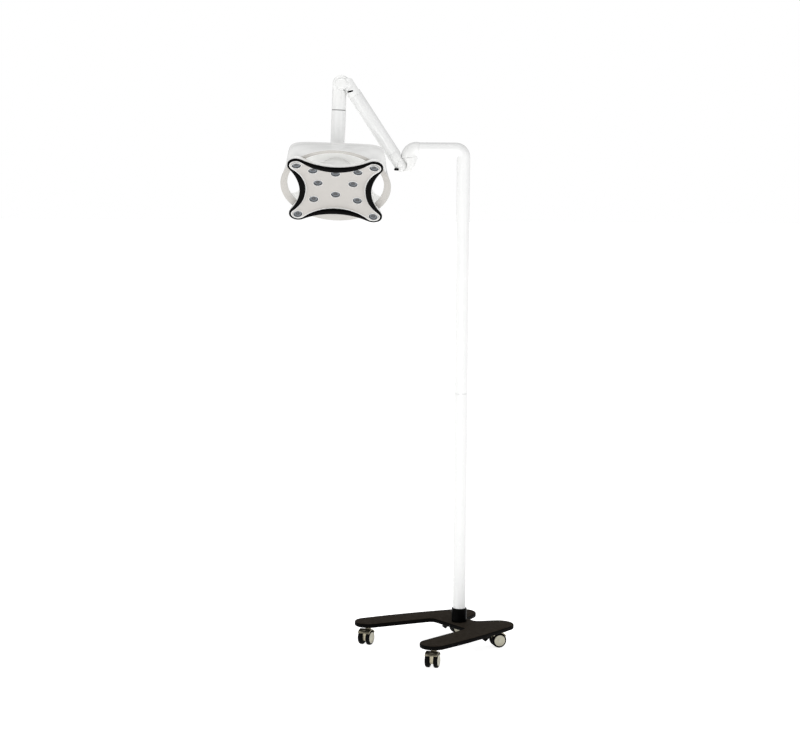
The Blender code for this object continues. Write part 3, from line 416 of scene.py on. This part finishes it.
# ---------------------------------------------------------------- stand
HEADING = math.radians(216.3)               # the way the front legs point
PLATE_TOP, PLATE_THICK, PLATE_EDGE_R = 0.079, 0.016, 0.0042
FRONT_REACH, FRONT_SIDE, FRONT_END_R = 0.250, 0.186, 0.047
REAR_REACH, REAR_SIDE, REAR_END_R = -0.090, 0.104, 0.052
BRIDGE_FRONT, INNER_FRONT_SIDE, FRONT_FILLET = 0.042, 0.094, 0.018
BRIDGE_REAR, INNER_REAR_SIDE, REAR_FILLET = -0.050, 0.027, 0.012
LEG_BOW = 0.007
COLLAR_BORE_R, COLLAR_R, COLLAR_TOP = 0.0229, 0.0258, 0.1268
POLE_BORE_R, LOWER_POLE_R, UPPER_POLE_R = 0.0205, 0.0223, 0.02235
BEND_R = 0.026                              # of the tube's middle line
ELBOW_R, ELBOW_TAPER, ELBOW_CHAMFER = 0.0281, 0.0045, 0.0007
UPWARD = math.pi / 2
WHEEL_R, WHEEL_INNER, WHEEL_OUTER = 0.0252, 0.0072, 0.0228


def plate_half():
    """One half of the plate's outline, from the bridge's front round both ends to its rear."""
    front, rear = (FRONT_REACH, FRONT_SIDE), (REAR_REACH, REAR_SIDE)
    inner_dir = math.atan2(FRONT_SIDE - FRONT_END_R - INNER_FRONT_SIDE, FRONT_REACH - BRIDGE_FRONT)
    outer_dir = math.atan2(FRONT_SIDE + FRONT_END_R - REAR_SIDE - REAR_END_R, FRONT_REACH - REAR_REACH)
    corner = Vector((BRIDGE_FRONT, INNER_FRONT_SIDE))
    start = corner + Vector((0, -FRONT_FILLET))
    end = corner + Vector((FRONT_FILLET, FRONT_FILLET * math.tan(inner_dir) + 0.0005))
    points = eased(start, corner, end, 8)
    points += arc(front, FRONT_END_R, inner_dir - math.pi / 2, outer_dir + math.pi / 2, 28)

    corner = Vector((BRIDGE_REAR, INNER_REAR_SIDE))
    toward = math.atan2(REAR_SIDE - INNER_REAR_SIDE, REAR_REACH - BRIDGE_REAR) + math.pi / 2
    offset = math.asin(REAR_END_R / math.dist(rear, (BRIDGE_REAR, INNER_REAR_SIDE)))
    rear_arc = arc(rear, REAR_END_R, outer_dir + math.pi / 2, toward + offset, 20)
    first, last = points[-1], rear_arc[0]
    for k in range(1, 20):
        f = k / 20
        bow = LEG_BOW * 4 * f * (1 - f)
        points.append((first[0] + (last[0] - first[0]) * f, first[1] + (last[1] - first[1]) * f + bow))
    points += rear_arc
    start = corner + (Vector(points[-1]) - corner).normalized() * REAR_FILLET
    return points + eased(start, corner, Vector((BRIDGE_REAR, INNER_REAR_SIDE - REAR_FILLET)), 8)


def make_base(mats):
    """The plate, brown-black on top with its rounded edge painted near black as painted shade, and the collar
    that stands on it.
    """
    half = plate_half()
    outline = half + [(a, -b) for a, b in reversed(half)]
    area = sum(p[0] * q[1] - q[0] * p[1] for p, q in zip(outline, outline[1:] + outline[:1]))
    inwards = 1 if area > 0 else -1
    low, high, edge = PLATE_TOP - PLATE_THICK, PLATE_TOP, PLATE_EDGE_R
    quarter = [math.pi / 2 * k / 5 for k in range(6)]
    levels = [(edge * (1 - math.sin(a)), low + edge * (1 - math.cos(a))) for a in quarter]
    levels += [(edge * (1 - math.cos(a)), high - edge * (1 - math.sin(a))) for a in quarter]
    place = at(POLE_X, POLE_Y, 0) @ Matrix.Rotation(HEADING, 4, "Z")
    bm = lofted([[place @ Vector((x, y, z)) for x, y in inset(outline, inwards * d)] for d, z in levels])
    # Faces below the top's round take the darker finish: painted shade on the plate's sides.
    for face in bm.faces:
        if face.calc_center_median().z < high - edge * 0.35:
            face.material_index = 1
    finish_mesh("base_plate_finished", bm, [mats["base"], mats["edge"]], "stand", ("base_plate",), 50)

    foot = PLATE_TOP + 0.0003
    profile = rounded([(COLLAR_BORE_R, foot), (COLLAR_R, foot), (COLLAR_R, COLLAR_TOP),
                       (COLLAR_BORE_R, COLLAR_TOP)], 0.0012)
    bm = turned(profile, 96, matrix=at(POLE_X, POLE_Y, 0))
    finish_mesh("pole_collar_finished", bm, mats["collar"], "stand", ("pole_collar",))


def make_pole(mats):
    """The straight lower tube, the upper tube with its bend, and the elbow cast on the tube's end."""
    low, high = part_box("lower_pole")
    profile = [(POLE_BORE_R, low.z), (LOWER_POLE_R - 0.0001, low.z), (LOWER_POLE_R, low.z + 0.001),
               (LOWER_POLE_R, high.z - 0.0007), (LOWER_POLE_R - 0.0006, high.z), (POLE_BORE_R, high.z)]
    bm = turned(profile, 96, matrix=at(POLE_X, POLE_Y, 0))
    finish_mesh("lower_pole_finished", bm, mats["tube"], "stand", ("lower_pole",))

    low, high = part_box("upper_pole")
    level = high.z - 0.0225
    path = [(POLE_X, z, UPWARD) for z in (low.z, low.z + 0.0008, level - BEND_R - 0.004)]
    path += bend((POLE_X - BEND_R, level - BEND_R), BEND_R, 0.0, math.pi / 2, 18) + [(low.x, level, math.pi)]
    loops = [hoop(s, UPPER_POLE_R, 72) for s in path] + [hoop(s, POLE_BORE_R, 72) for s in reversed(path)]
    finish_mesh("upper_pole_finished", lofted(loops, True), mats["tube"], "stand", ("upper_pole",), 50)

    swivel = Vector(JOINTS["arm_swivel"]["pos_m"])
    path = [(swivel.x, swivel.z + 0.0003, UPWARD), (swivel.x, swivel.z + 0.0012, UPWARD)]
    path += bend((swivel.x + BEND_R, level - BEND_R), BEND_R, math.pi, math.pi / 2, 18)
    path.append((low.x - 0.0004, level, 0.0))
    loops = []
    for k, station in enumerate(path):
        radius = ELBOW_R - ELBOW_TAPER * (k / (len(path) - 1)) - (ELBOW_CHAMFER if k == 0 else 0.0)
        loops.append(hoop(station, radius, 64))
    finish_mesh("arm_elbow_finished", lofted(loops), mats["enamel"], "stand", ("arm_elbow",), 50)


def make_casters(mats):
    for name in ("caster_front_left", "caster_front_right", "caster_rear_left", "caster_rear_right"):
        centre = Vector(JOINTS[name + "_roll"]["pos_m"])
        axle = Vector(JOINTS[name + "_roll"]["axis"])
        softened(name + "_fork", mats["zinc"], 0.0006)
        paint(name + "_axle", mats["steel"])
        for label in ("inner", "outer"):
            node = name + "_wheel_" + label
            away = middle(node) - centre
            side = axle if away.dot(axle) > 0 else -axle
            make_wheel(mats, node, name + "_wheels", along(centre, side))
        if name.startswith("caster_rear"):
            softened(name + "_brake_lever", mats["dark"], 0.0008)


def make_wheel(mats, node, body, place):
    """Tyre with a domed tread and a stepped cream cap, on one side of the fork."""
    r, inner, outer = WHEEL_R, WHEEL_INNER, WHEEL_OUTER
    tyre = rounded([(0.0035, inner), (0.0160, inner), (0.0178, inner + 0.0008), (r - 0.0022, inner),
                    (r, inner + 0.0030), (r, outer - 0.0052), (r - 0.0022, outer - 0.0016),
                    (0.0196, outer - 0.0008), (0.0192, outer - 0.0030), (0.0035, outer - 0.0030)], 0.0012, 3)
    bm = turned(tyre, 64, matrix=place)
    cap = rounded([(0.0, outer - 0.0012), (0.0048, outer - 0.0014), (0.0060, outer - 0.0022),
                   (0.0120, outer - 0.0020), (0.0165, outer - 0.0008), (0.0180, outer - 0.0002),
                   (0.0191, outer - 0.0010), (0.0191, outer - 0.0031), (0.0, outer - 0.0031)], 0.0006, 2)
    turned(cap, 64, bm, place, 1)
    finish_mesh(node + "_finished", bm, [mats["tyre"], mats["cap"]], body, (node,))


# ---------------------------------------------------------------- arm
ARM_RISE = math.radians(56.6)
ARM_LENGTH = 0.3137                         # between the two pivots
TUBE_SET_BACK, TUBE_R, TUBE_BORE_R = 0.0433, 0.0229, 0.0210
PIN_COVER_R, PIN_COVER_OUT = 0.0078, 0.0204
SHADE_BLOCK_HALF_DEEP = 0.0226
SEAM_R, SEAM_BORE_R, SEAM_HALF_HIGH = 0.0229, 0.0115, 0.0008
STEEL_NODES = ("tie_rod", "pivot_pin_lower", "pivot_pin_upper", "tie_pin_lower", "tie_pin_upper",
               "arm_spring", "spring_guide", "swivel_spindle", "spindle_ring", "foot_plug", "foot_bolt",
               "pole_spigot", "spigot_screw_lower", "spigot_screw_upper", "head_spindle")


def make_arm(mats):
    """The tube between its two forks, the caps over the pivots, dark blocks put in the shaded gaps under both
    forks as painted shade, and the dark seam ring.
    """
    low = Vector(JOINTS["arm_tilt"]["pos_m"])
    high = Vector(JOINTS["knuckle_level"]["pos_m"])
    place = along(low, Vector((-math.cos(ARM_RISE), 0, math.sin(ARM_RISE))))
    start, end = TUBE_SET_BACK, ARM_LENGTH - TUBE_SET_BACK
    profile = [(TUBE_BORE_R, start), (TUBE_R - 0.0003, start), (TUBE_R, start + 0.0005),
               (TUBE_R, end - 0.0005), (TUBE_R - 0.0003, end), (TUBE_BORE_R, end)]
    finish_mesh("arm_tube_finished", turned(profile, 96, matrix=place), mats["tube"], "arm", ("arm_tube",))
    for node in ("arm_lower_fork", "arm_upper_fork", "arm_yoke", "arm_knuckle"):
        softened(node, mats["enamel"], 0.0009, 3)
    for node in ("fork_cap_front", "fork_cap_back", "knuckle_cap_front", "knuckle_cap_back"):
        make_cap(mats, node)
    profile = rounded([(0.0, 0.0), (PIN_COVER_R, 0.0), (PIN_COVER_R, 0.0011), (0.0, 0.0013)], 0.0006, 3)
    for label, out in (("front", FRONT), ("back", BACK)):
        cover = turned(profile, 48, matrix=along(high + out * PIN_COVER_OUT, out))
        finish_mesh("pin_cover_" + label, cover, mats["enamel"], "arm")
    # Dark blocks under the two pivots, where the gaps lie in shade: painted shade.
    make_shade_block(mats, "arm_shade_block_upper", high + Vector((0.0060, 0, -0.0215)), 0.0200, 0.0060, 14)
    make_shade_block(mats, "arm_shade_block_lower", low + Vector((-0.0120, 0, -0.0165)), 0.0165, 0.0085, 0)
    for node in STEEL_NODES:
        paint(node, mats["steel"])
    paint("swivel_bush", mats["nylon"])

    seam, up = JOINTS["head_swivel"]["pos_m"], JOINTS["head_swivel"]["axis"]
    profile = rounded([(SEAM_BORE_R, -SEAM_HALF_HIGH), (SEAM_R, -SEAM_HALF_HIGH), (SEAM_R, SEAM_HALF_HIGH),
                       (SEAM_BORE_R, SEAM_HALF_HIGH)], 0.0004, 2)
    bm = turned(profile, 72, matrix=along(Vector(seam), Vector(up)))
    finish_mesh("seam_ring_finished", bm, mats["dark"], "knuckle", ("seam_ring",))


def make_shade_block(mats, name, centre, wide, high, turn):
    """A black block that crosses the arm's fork, with its ends just proud of the cheeks: a dark piece put
    where the gap under the fork lies in shade, as painted shade.
    """
    place = Matrix.Translation(centre) @ Matrix.Rotation(math.radians(-turn), 4, "Y")
    r = high / 2 - 0.0004
    flat = wide / 2 - high / 2
    outline = [(flat + x, z) for x, z in arc((0, 0), r, -math.pi / 2, math.pi / 2, 8)]
    outline += [(x - flat, z) for x, z in arc((0, 0), r, math.pi / 2, 1.5 * math.pi, 8)]
    face, shoulder = SHADE_BLOCK_HALF_DEEP + 0.0010, SHADE_BLOCK_HALF_DEEP + 0.0006
    loops = []
    for y, across, upright in ((-face, 0.93, 0.80), (-shoulder, 1.0, 1.0), (shoulder, 1.0, 1.0),
                               (face, 0.93, 0.80)):
        loops.append([place @ Vector((x * across, y, z * upright)) for x, z in outline])
    finish_mesh(name, lofted(loops), mats["dark"], "arm")


def make_cap(mats, node):
    """A round cover with a soft edge and a shallow ring pressed into it."""
    low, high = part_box(node)
    centre = (low + high) / 2
    r = (high.x - low.x) / 2 + 0.0002
    out = FRONT if centre.y < POLE_Y else BACK
    thick = high.y - low.y
    profile = rounded([(0.0, 0.0), (r, 0.0), (r, thick * 0.75), (r - 0.0012, thick), (r * 0.80, thick),
                       (r * 0.76, thick - 0.0004), (r * 0.70, thick - 0.0004), (r * 0.66, thick),
                       (0.0, thick)], 0.0005, 2)
    bm = turned(profile, 64, matrix=along(centre - out * (thick / 2), out))
    finish_mesh(node + "_finished", bm, mats["enamel"], NODES[node]["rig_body"], (node,))


# ---------------------------------------------------------------- lamp head
# In the head's frame X is across, Y is up the face and Z comes out of the lamp.
LEAN = math.radians(1.8)
FACE_DOWN = math.radians(50.0)
FACE_FROM_PIN = Vector((0, -0.0289, 0.1246))
CORNER = 0.127                              # the corner lenses' distance from both middle lines
DISH_DEEP, DISH_RIM, DISH_R = 0.0093, 0.0216, 1.3
LENSES = [(0.0, 0.081), (0.0, -0.030)]
LENSES += [(side * x, y) for x, y in ((CORNER, CORNER), (0.074, 0.096), (0.058, 0.029), (0.073, -0.055),
                                      (CORNER, -CORNER)) for side in (-1, 1)]
LENS_HOLE_R = 0.0158

# The shell's cross sections: half width, half height, squareness, middle's height, depth behind the rim.
SECTION_POINTS = 168
SHELL_OUTSIDE = [(0.1535, 0.1090, 7.0, 0.0035, 0.0898), (0.1575, 0.1138, 6.8, 0.0035, 0.0889),
                 (0.1600, 0.1165, 6.5, 0.0035, 0.0868), (0.1625, 0.1230, 5.5, 0.0035, 0.0760),
                 (0.1650, 0.1390, 4.2, 0.0030, 0.0600), (0.1690, 0.1560, 3.0, 0.0020, 0.0400),
                 (0.1750, 0.1700, 2.4, 0.0010, 0.0240), (0.1812, 0.1808, 2.05, 0.0, 0.0100),
                 (0.1837, 0.1837, 2.0, 0.0, 0.0032)]
SHELL_RIM = [(0.1837, 0.1837, 2.0, 0.0, 0.0016), (0.1832, 0.1832, 2.0, 0.0, 0.0006),
             (0.1824, 0.1824, 2.0, 0.0, 0.0002), (0.1612, 0.1612, 2.0, 0.0105, 0.0002),
             (0.1606, 0.1606, 2.0, 0.0105, 0.0008), (0.1605, 0.1605, 2.0, 0.0105, 0.0040)]
SHELL_INSIDE = [(0.1765, 0.1765, 2.0, 0.0, 0.0062), (0.1700, 0.1652, 2.4, 0.0010, 0.0240),
                (0.1642, 0.1512, 3.0, 0.0020, 0.0400), (0.1602, 0.1342, 4.2, 0.0030, 0.0600),
                (0.1577, 0.1182, 5.5, 0.0035, 0.0755), (0.1545, 0.1110, 6.5, 0.0035, 0.0840)]
RIM_FRONT_DEPTH = 0.0018

# The grip windows are ovals seen from level in front, cut straight back through the shell.
WINDOW_X, WINDOW_UP, WINDOW_HALF_WIDE, WINDOW_HALF_HIGH = 0.150, 0.012, 0.034, 0.041
WINDOW_START, WINDOW_END = 0.022, 0.26

BEZEL_ROWS = [((0.0240, 0.1000), 0.0160), ((0.0240, 0.1000), 0.0226), ((0.0243, 0.1003), 0.0234),
              ((0.0252, 0.1012), 0.0239), ((0.0282, 0.1172), 0.0239), ((0.0293, 0.1183), 0.0235),
              ((0.0299, 0.1189), 0.0226), ((0.0300, 0.1190), 0.0165), ((0.0296, 0.1186), 0.0160)]
PANEL_SHAPE, PANEL_THICK = (0.0232, 0.0994), 0.0020
PANEL_STEPS = (0.05, 0.15, 0.30, 0.45, 0.60, 0.72, 0.82, 0.90, 0.955)
PANEL_BEAD = [((0.0200, 0.0962), 0.0), ((0.0204, 0.0966), 0.0009), ((0.0226, 0.0988), 0.0012),
              ((0.0232, 0.0994), 0.0006)]

# Each light, by (radius, height): the bead round it, then what lies inside, from the outside in.
LIGHT_RIM = [(0.0152, -0.0006), (0.0152, 0.0014), (0.0158, 0.0021), (0.0168, 0.0017), (0.0172, 0.0006),
             (0.0172, 0.0002), (0.0156, 0.0002), (0.0156, -0.0028)]
LIGHT_CUP = [(0.0155, -0.0006), (0.0146, -0.0008), (0.0136, -0.0013), (0.0128, -0.0020)]
LIGHT_GLASS = [(0.0128, -0.0020), (0.0112, -0.0016), (0.0094, -0.0018), (0.0078, -0.0026)]
LIGHT_OPTIC = [(0.0078, -0.0026), (0.0066, -0.0033), (0.0050, -0.0034), (0.0042, -0.0028), (0.0028, -0.0021),
               (0.0012, -0.0018), (0.0, -0.0017)]
LIGHT_BACK = [(0.0156, -0.0028), (0.0120, -0.0038), (0.0, -0.0038)]


def head_frame():
    tilt = Vector(JOINTS["head_tilt"]["pos_m"])
    turn = Matrix.Rotation(LEAN, 4, "Y") @ Matrix.Rotation(math.pi / 2 + FACE_DOWN, 4, "X")
    return Matrix.Translation(tilt + turn @ FACE_FROM_PIN) @ turn


def star(corner_r, side):
    """The four-cornered outline: round corners joined by hollow sides that come within side of the middle."""
    c = CORNER
    hollow = (c * c + (c - side) ** 2 - corner_r ** 2) / (2 * (corner_r + c - side))
    reach = math.atan2(side + hollow - c, -c)
    start = math.atan2(c - side - hollow, c)
    points = []
    for quarter in range(4):
        turn = quarter * math.pi / 2
        corner = arc((c, c), corner_r, math.pi / 2 - reach, reach, 16)
        edge = arc((0.0, side + hollow), hollow, start, -math.pi - start, 16)[1:-1]
        for x, y in corner + edge:
            points.append((x * math.cos(turn) - y * math.sin(turn), x * math.sin(turn) + y * math.cos(turn)))
    return points


def dish(x, y):
    """The height of the hollowed panel's face."""
    return min(DISH_DEEP + (x * x + y * y) / (2 * DISH_R), DISH_RIM)


def section(row):
    """One rounded-square cross section of the shell."""
    half_wide, half_high, power, middle_up, depth = row
    loop = []
    for a in turns(SECTION_POINTS, 0.5):
        c, s = math.cos(a), math.sin(a)
        scale = (abs(c) ** power + abs(s) ** power) ** (-1.0 / power)
        loop.append(Vector((half_wide * c * scale, middle_up + half_high * s * scale, -depth)))
    return loop


def refined(rows, steps):
    """Catmull-Rom rows between the given ones."""
    out = []
    for k in range(len(rows) - 1):
        p0, p1, p2, p3 = rows[max(k - 1, 0)], rows[k], rows[k + 1], rows[min(k + 2, len(rows) - 1)]
        for j in range(steps):
            t = j / steps
            out.append(tuple(0.5 * (2 * b + (c - a) * t + (2 * a - 5 * b + 4 * c - d) * t * t
                                    + (3 * b - a - 3 * c + d) * t ** 3)
                             for a, b, c, d in zip(p0, p1, p2, p3)))
    out.append(tuple(rows[-1]))
    return out


def make_shell(mats, place):
    """The gloss shell, from its flat back over the rim, whose front face is painted warm grey as painted
    shade, and into its white inside, which glows with painted bounce light.
    """
    front = refined(SHELL_OUTSIDE, 4) + SHELL_RIM
    bm = lofted([section(row) for row in front + refined(SHELL_INSIDE, 3)])
    for k, face in enumerate(bm.faces):
        # The rim's front face takes the warm grey of painted shade.
        if min(v.co.z for v in face.verts) > -RIM_FRONT_DEPTH:
            face.material_index = 1
        # The inside takes the finish with painted bounce light.
        elif k // SECTION_POINTS >= len(front) - 1:
            face.material_index = 2
    shell = finish_mesh("head_shell_finished", bm, [mats["shell"], mats["ring"], mats["inner"]], "lamp_head",
                        ("head_shell",), 40, place)

    cutter = bmesh.new()
    cos, sin = math.cos(FACE_DOWN), math.sin(FACE_DOWN)
    for side in (-1, 1):
        near, far = [], []
        for a in turns(72, 0.5):
            x = side * WINDOW_X + WINDOW_HALF_WIDE * math.cos(a)
            up = WINDOW_UP + WINDOW_HALF_HIGH * math.sin(a)
            away = (WINDOW_START - up * sin) / cos
            near.append(Vector((x, up * cos - away * sin, -WINDOW_START)))
            far.append(Vector((x, up * cos - WINDOW_END * sin, -(up * sin + WINDOW_END * cos))))
        lofted([near, far], bm=cutter)
    cut_away(shell, "window_cutter", cutter, place)
    break_edges(shell, 0.0012, 3, 50)


def make_drop_tube(mats):
    seam, up = JOINTS["head_swivel"]["pos_m"], JOINTS["head_swivel"]["axis"]
    profile = rounded([(0.0113, -0.0011), (0.02395, -0.0011), (0.02395, -0.1150), (0.0210, -0.1150),
                       (0.0210, -0.0220), (0.0113, -0.0220)], 0.0008, 3)
    bm = turned(profile, 96, matrix=along(Vector(seam), Vector(up)))
    finish_mesh("drop_tube_finished", bm, mats["tube"], "drop_tube", ("drop_tube",))


def make_panel(mats, place):
    """The hollowed grey panel with a pale bead round its edge and a hole for each light."""
    outline = star(*PANEL_SHAPE)
    loops = [[Vector((x * s, y * s, dish(x * s, y * s))) for x, y in outline] for s in PANEL_STEPS]
    for shape, lift in PANEL_BEAD + [(PANEL_SHAPE, -PANEL_THICK)]:
        loops.append([Vector((x, y, dish(x, y) + lift)) for x, y in star(*shape)])
    for s in (0.9, 0.6, 0.3, 0.05):
        loops.append([Vector((x * s, y * s, dish(x * s, y * s) - PANEL_THICK)) for x, y in outline])
    bm = lofted(loops)
    first_bead = len(PANEL_STEPS)
    for k, face in enumerate(bm.faces):
        if first_bead <= k // len(outline) <= first_bead + 2:
            face.material_index = 1
    panel = finish_mesh("front_panel_finished", bm, [mats["panel"], mats["rim"]], "lamp_head",
                        ("front_panel",), 40, place)
    cutter = bmesh.new()
    for x, y in LENSES:
        turned([(0.0, 0.0), (LENS_HOLE_R, 0.0), (LENS_HOLE_R, 0.05), (0.0, 0.05)], 48, cutter, at(x, y, 0.0))
    cut_away(panel, "hole_cutter", cutter, place)


def make_lens(mats, place, k, x, y):
    """One light: a pale raised bead, a cup painted dark as painted shade in its recess, a smoked reflector
    and a stepped dark optic.
    """
    facing = Vector((-x / DISH_R, -y / DISH_R, 1.0)).normalized()
    here = place @ along((x, y, dish(x, y)), facing)
    bm = turned(rounded(LIGHT_RIM, 0.0003, 2), 56, matrix=here)
    for profile, slot in ((LIGHT_CUP, 1), (LIGHT_GLASS, 3), (LIGHT_OPTIC, 2), (LIGHT_BACK, 1)):
        turned(profile, 56, bm, here, slot, False)
    finishes = [mats["rim"], mats["cup"], mats["optic"], mats["glass"]]
    replaced = ("lens_sheet",) if k == 0 else ()
    obj = finish_mesh("lens_%02d" % (k + 1), bm, finishes, "lamp_head", replaced, 30)


def make_lamp(mats):
    place = head_frame()
    make_shell(mats, place)
    softened("lamp_housing", mats["shell"], 0.0008)
    softened("tilt_bracket", mats["enamel"], 0.0008)
    softened("tilt_tongue", mats["enamel"], 0.0008)
    paint("heat_sink", mats["alloy"])
    paint("led_board", mats["board"])
    softened("tilt_pin", mats["steel"], 0.0003)
    make_drop_tube(mats)
    bm = lofted([[Vector((x, y, n)) for x, y in star(*shape)] for shape, n in BEZEL_ROWS], True)
    finish_mesh("bezel_finished", bm, mats["bezel"], "lamp_head", ("bezel",), 60, place)
    make_panel(mats, place)
    for k, (x, y) in enumerate(LENSES):
        make_lens(mats, place, k, x, y)


# ---------------------------------------------------------------- room
ROOM_LIGHT, SEEN_LIGHT, FLOOR_GLOW = 0.62, 1.0, 0.80
FLOOR_HALF_WIDE = 30.0
# Softboxes: name, place, aim, width, height, power in watts.
SOFTBOXES = [("key", (-2.6, -3.2, 2.6), (0, 0, 1.2), 0.9, 2.6, 14),
             ("fill", (3.0, -2.8, 1.9), (0, 0, 1.0), 0.8, 2.4, 8),
             ("top", (-0.2, -0.6, 4.2), (0, 0, 0.6), 2.4, 2.0, 12),
             ("front", (0.2, -6.0, 0.7), (0, 0, 1.2), 2.4, 1.2, 8),
             ("under_head", (-0.5, -2.3, 0.75), (-0.2, 0.05, 1.56), 1.4, 0.9, 9)]


def make_floor():
    bm = bmesh.new()
    pairs = [[bm.verts.new((x, y, 0.0)) for x in (-FLOOR_HALF_WIDE, FLOOR_HALF_WIDE)]
             for y in (-12.0, -4.0, 4.0, 40.0)]
    for near, far in zip(pairs, pairs[1:]):
        bm.faces.new((near[0], near[1], far[1], far[0]))
    mesh = bpy.data.meshes.new("floor")
    bm.to_mesh(mesh)
    bm.free()
    mesh.shade_smooth()
    floor = bpy.data.objects.new("floor", mesh)
    bpy.context.scene.collection.objects.link(floor)
    mat, _, shader = nodes_of("pale_floor")
    shader.inputs["Base Color"].default_value = (0.90, 0.90, 0.90, 1)
    shader.inputs["Roughness"].default_value = 0.75
    shader.inputs["Emission Color"].default_value = (1, 1, 1, 1)
    shader.inputs["Emission Strength"].default_value = FLOOR_GLOW
    mesh.materials.append(mat)


def make_world():
    """White all round: full white where it's seen directly, softer as a light."""
    world = bpy.data.worlds.new("studio")
    world.use_nodes = True
    tree = world.node_tree
    room = tree.nodes["Background"]
    seen = tree.nodes.new("ShaderNodeBackground")
    for background, strength in ((room, ROOM_LIGHT), (seen, SEEN_LIGHT)):
        background.inputs["Color"].default_value = (1, 1, 1, 1)
        background.inputs["Strength"].default_value = strength
    path = tree.nodes.new("ShaderNodeLightPath")
    mix = tree.nodes.new("ShaderNodeMixShader")
    tree.links.new(path.outputs["Is Camera Ray"], mix.inputs["Fac"])
    tree.links.new(room.outputs["Background"], mix.inputs[1])
    tree.links.new(seen.outputs["Background"], mix.inputs[2])
    tree.links.new(mix.outputs["Shader"], tree.nodes["World Output"].inputs["Surface"])
    bpy.context.scene.world = world


def make_softbox(name, place, aim, wide, high, power):
    data = bpy.data.lights.new(name, "AREA")
    data.shape = "RECTANGLE"
    data.size, data.size_y, data.energy = wide, high, power
    obj = bpy.data.objects.new(name, data)
    obj.location = place
    obj.rotation_euler = (Vector(aim) - Vector(place)).to_track_quat("-Z", "Y").to_euler()
    bpy.context.scene.collection.objects.link(obj)


def make_room():
    make_floor()
    make_world()
    for box in SOFTBOXES:
        make_softbox(*box)
    bpy.context.scene.view_settings.view_transform = "Standard"
    bpy.context.scene.view_settings.look = "None"


make_camera()
MATS = make_materials()
make_base(MATS)
make_pole(MATS)
make_casters(MATS)
make_arm(MATS)
make_lamp(MATS)
make_room()
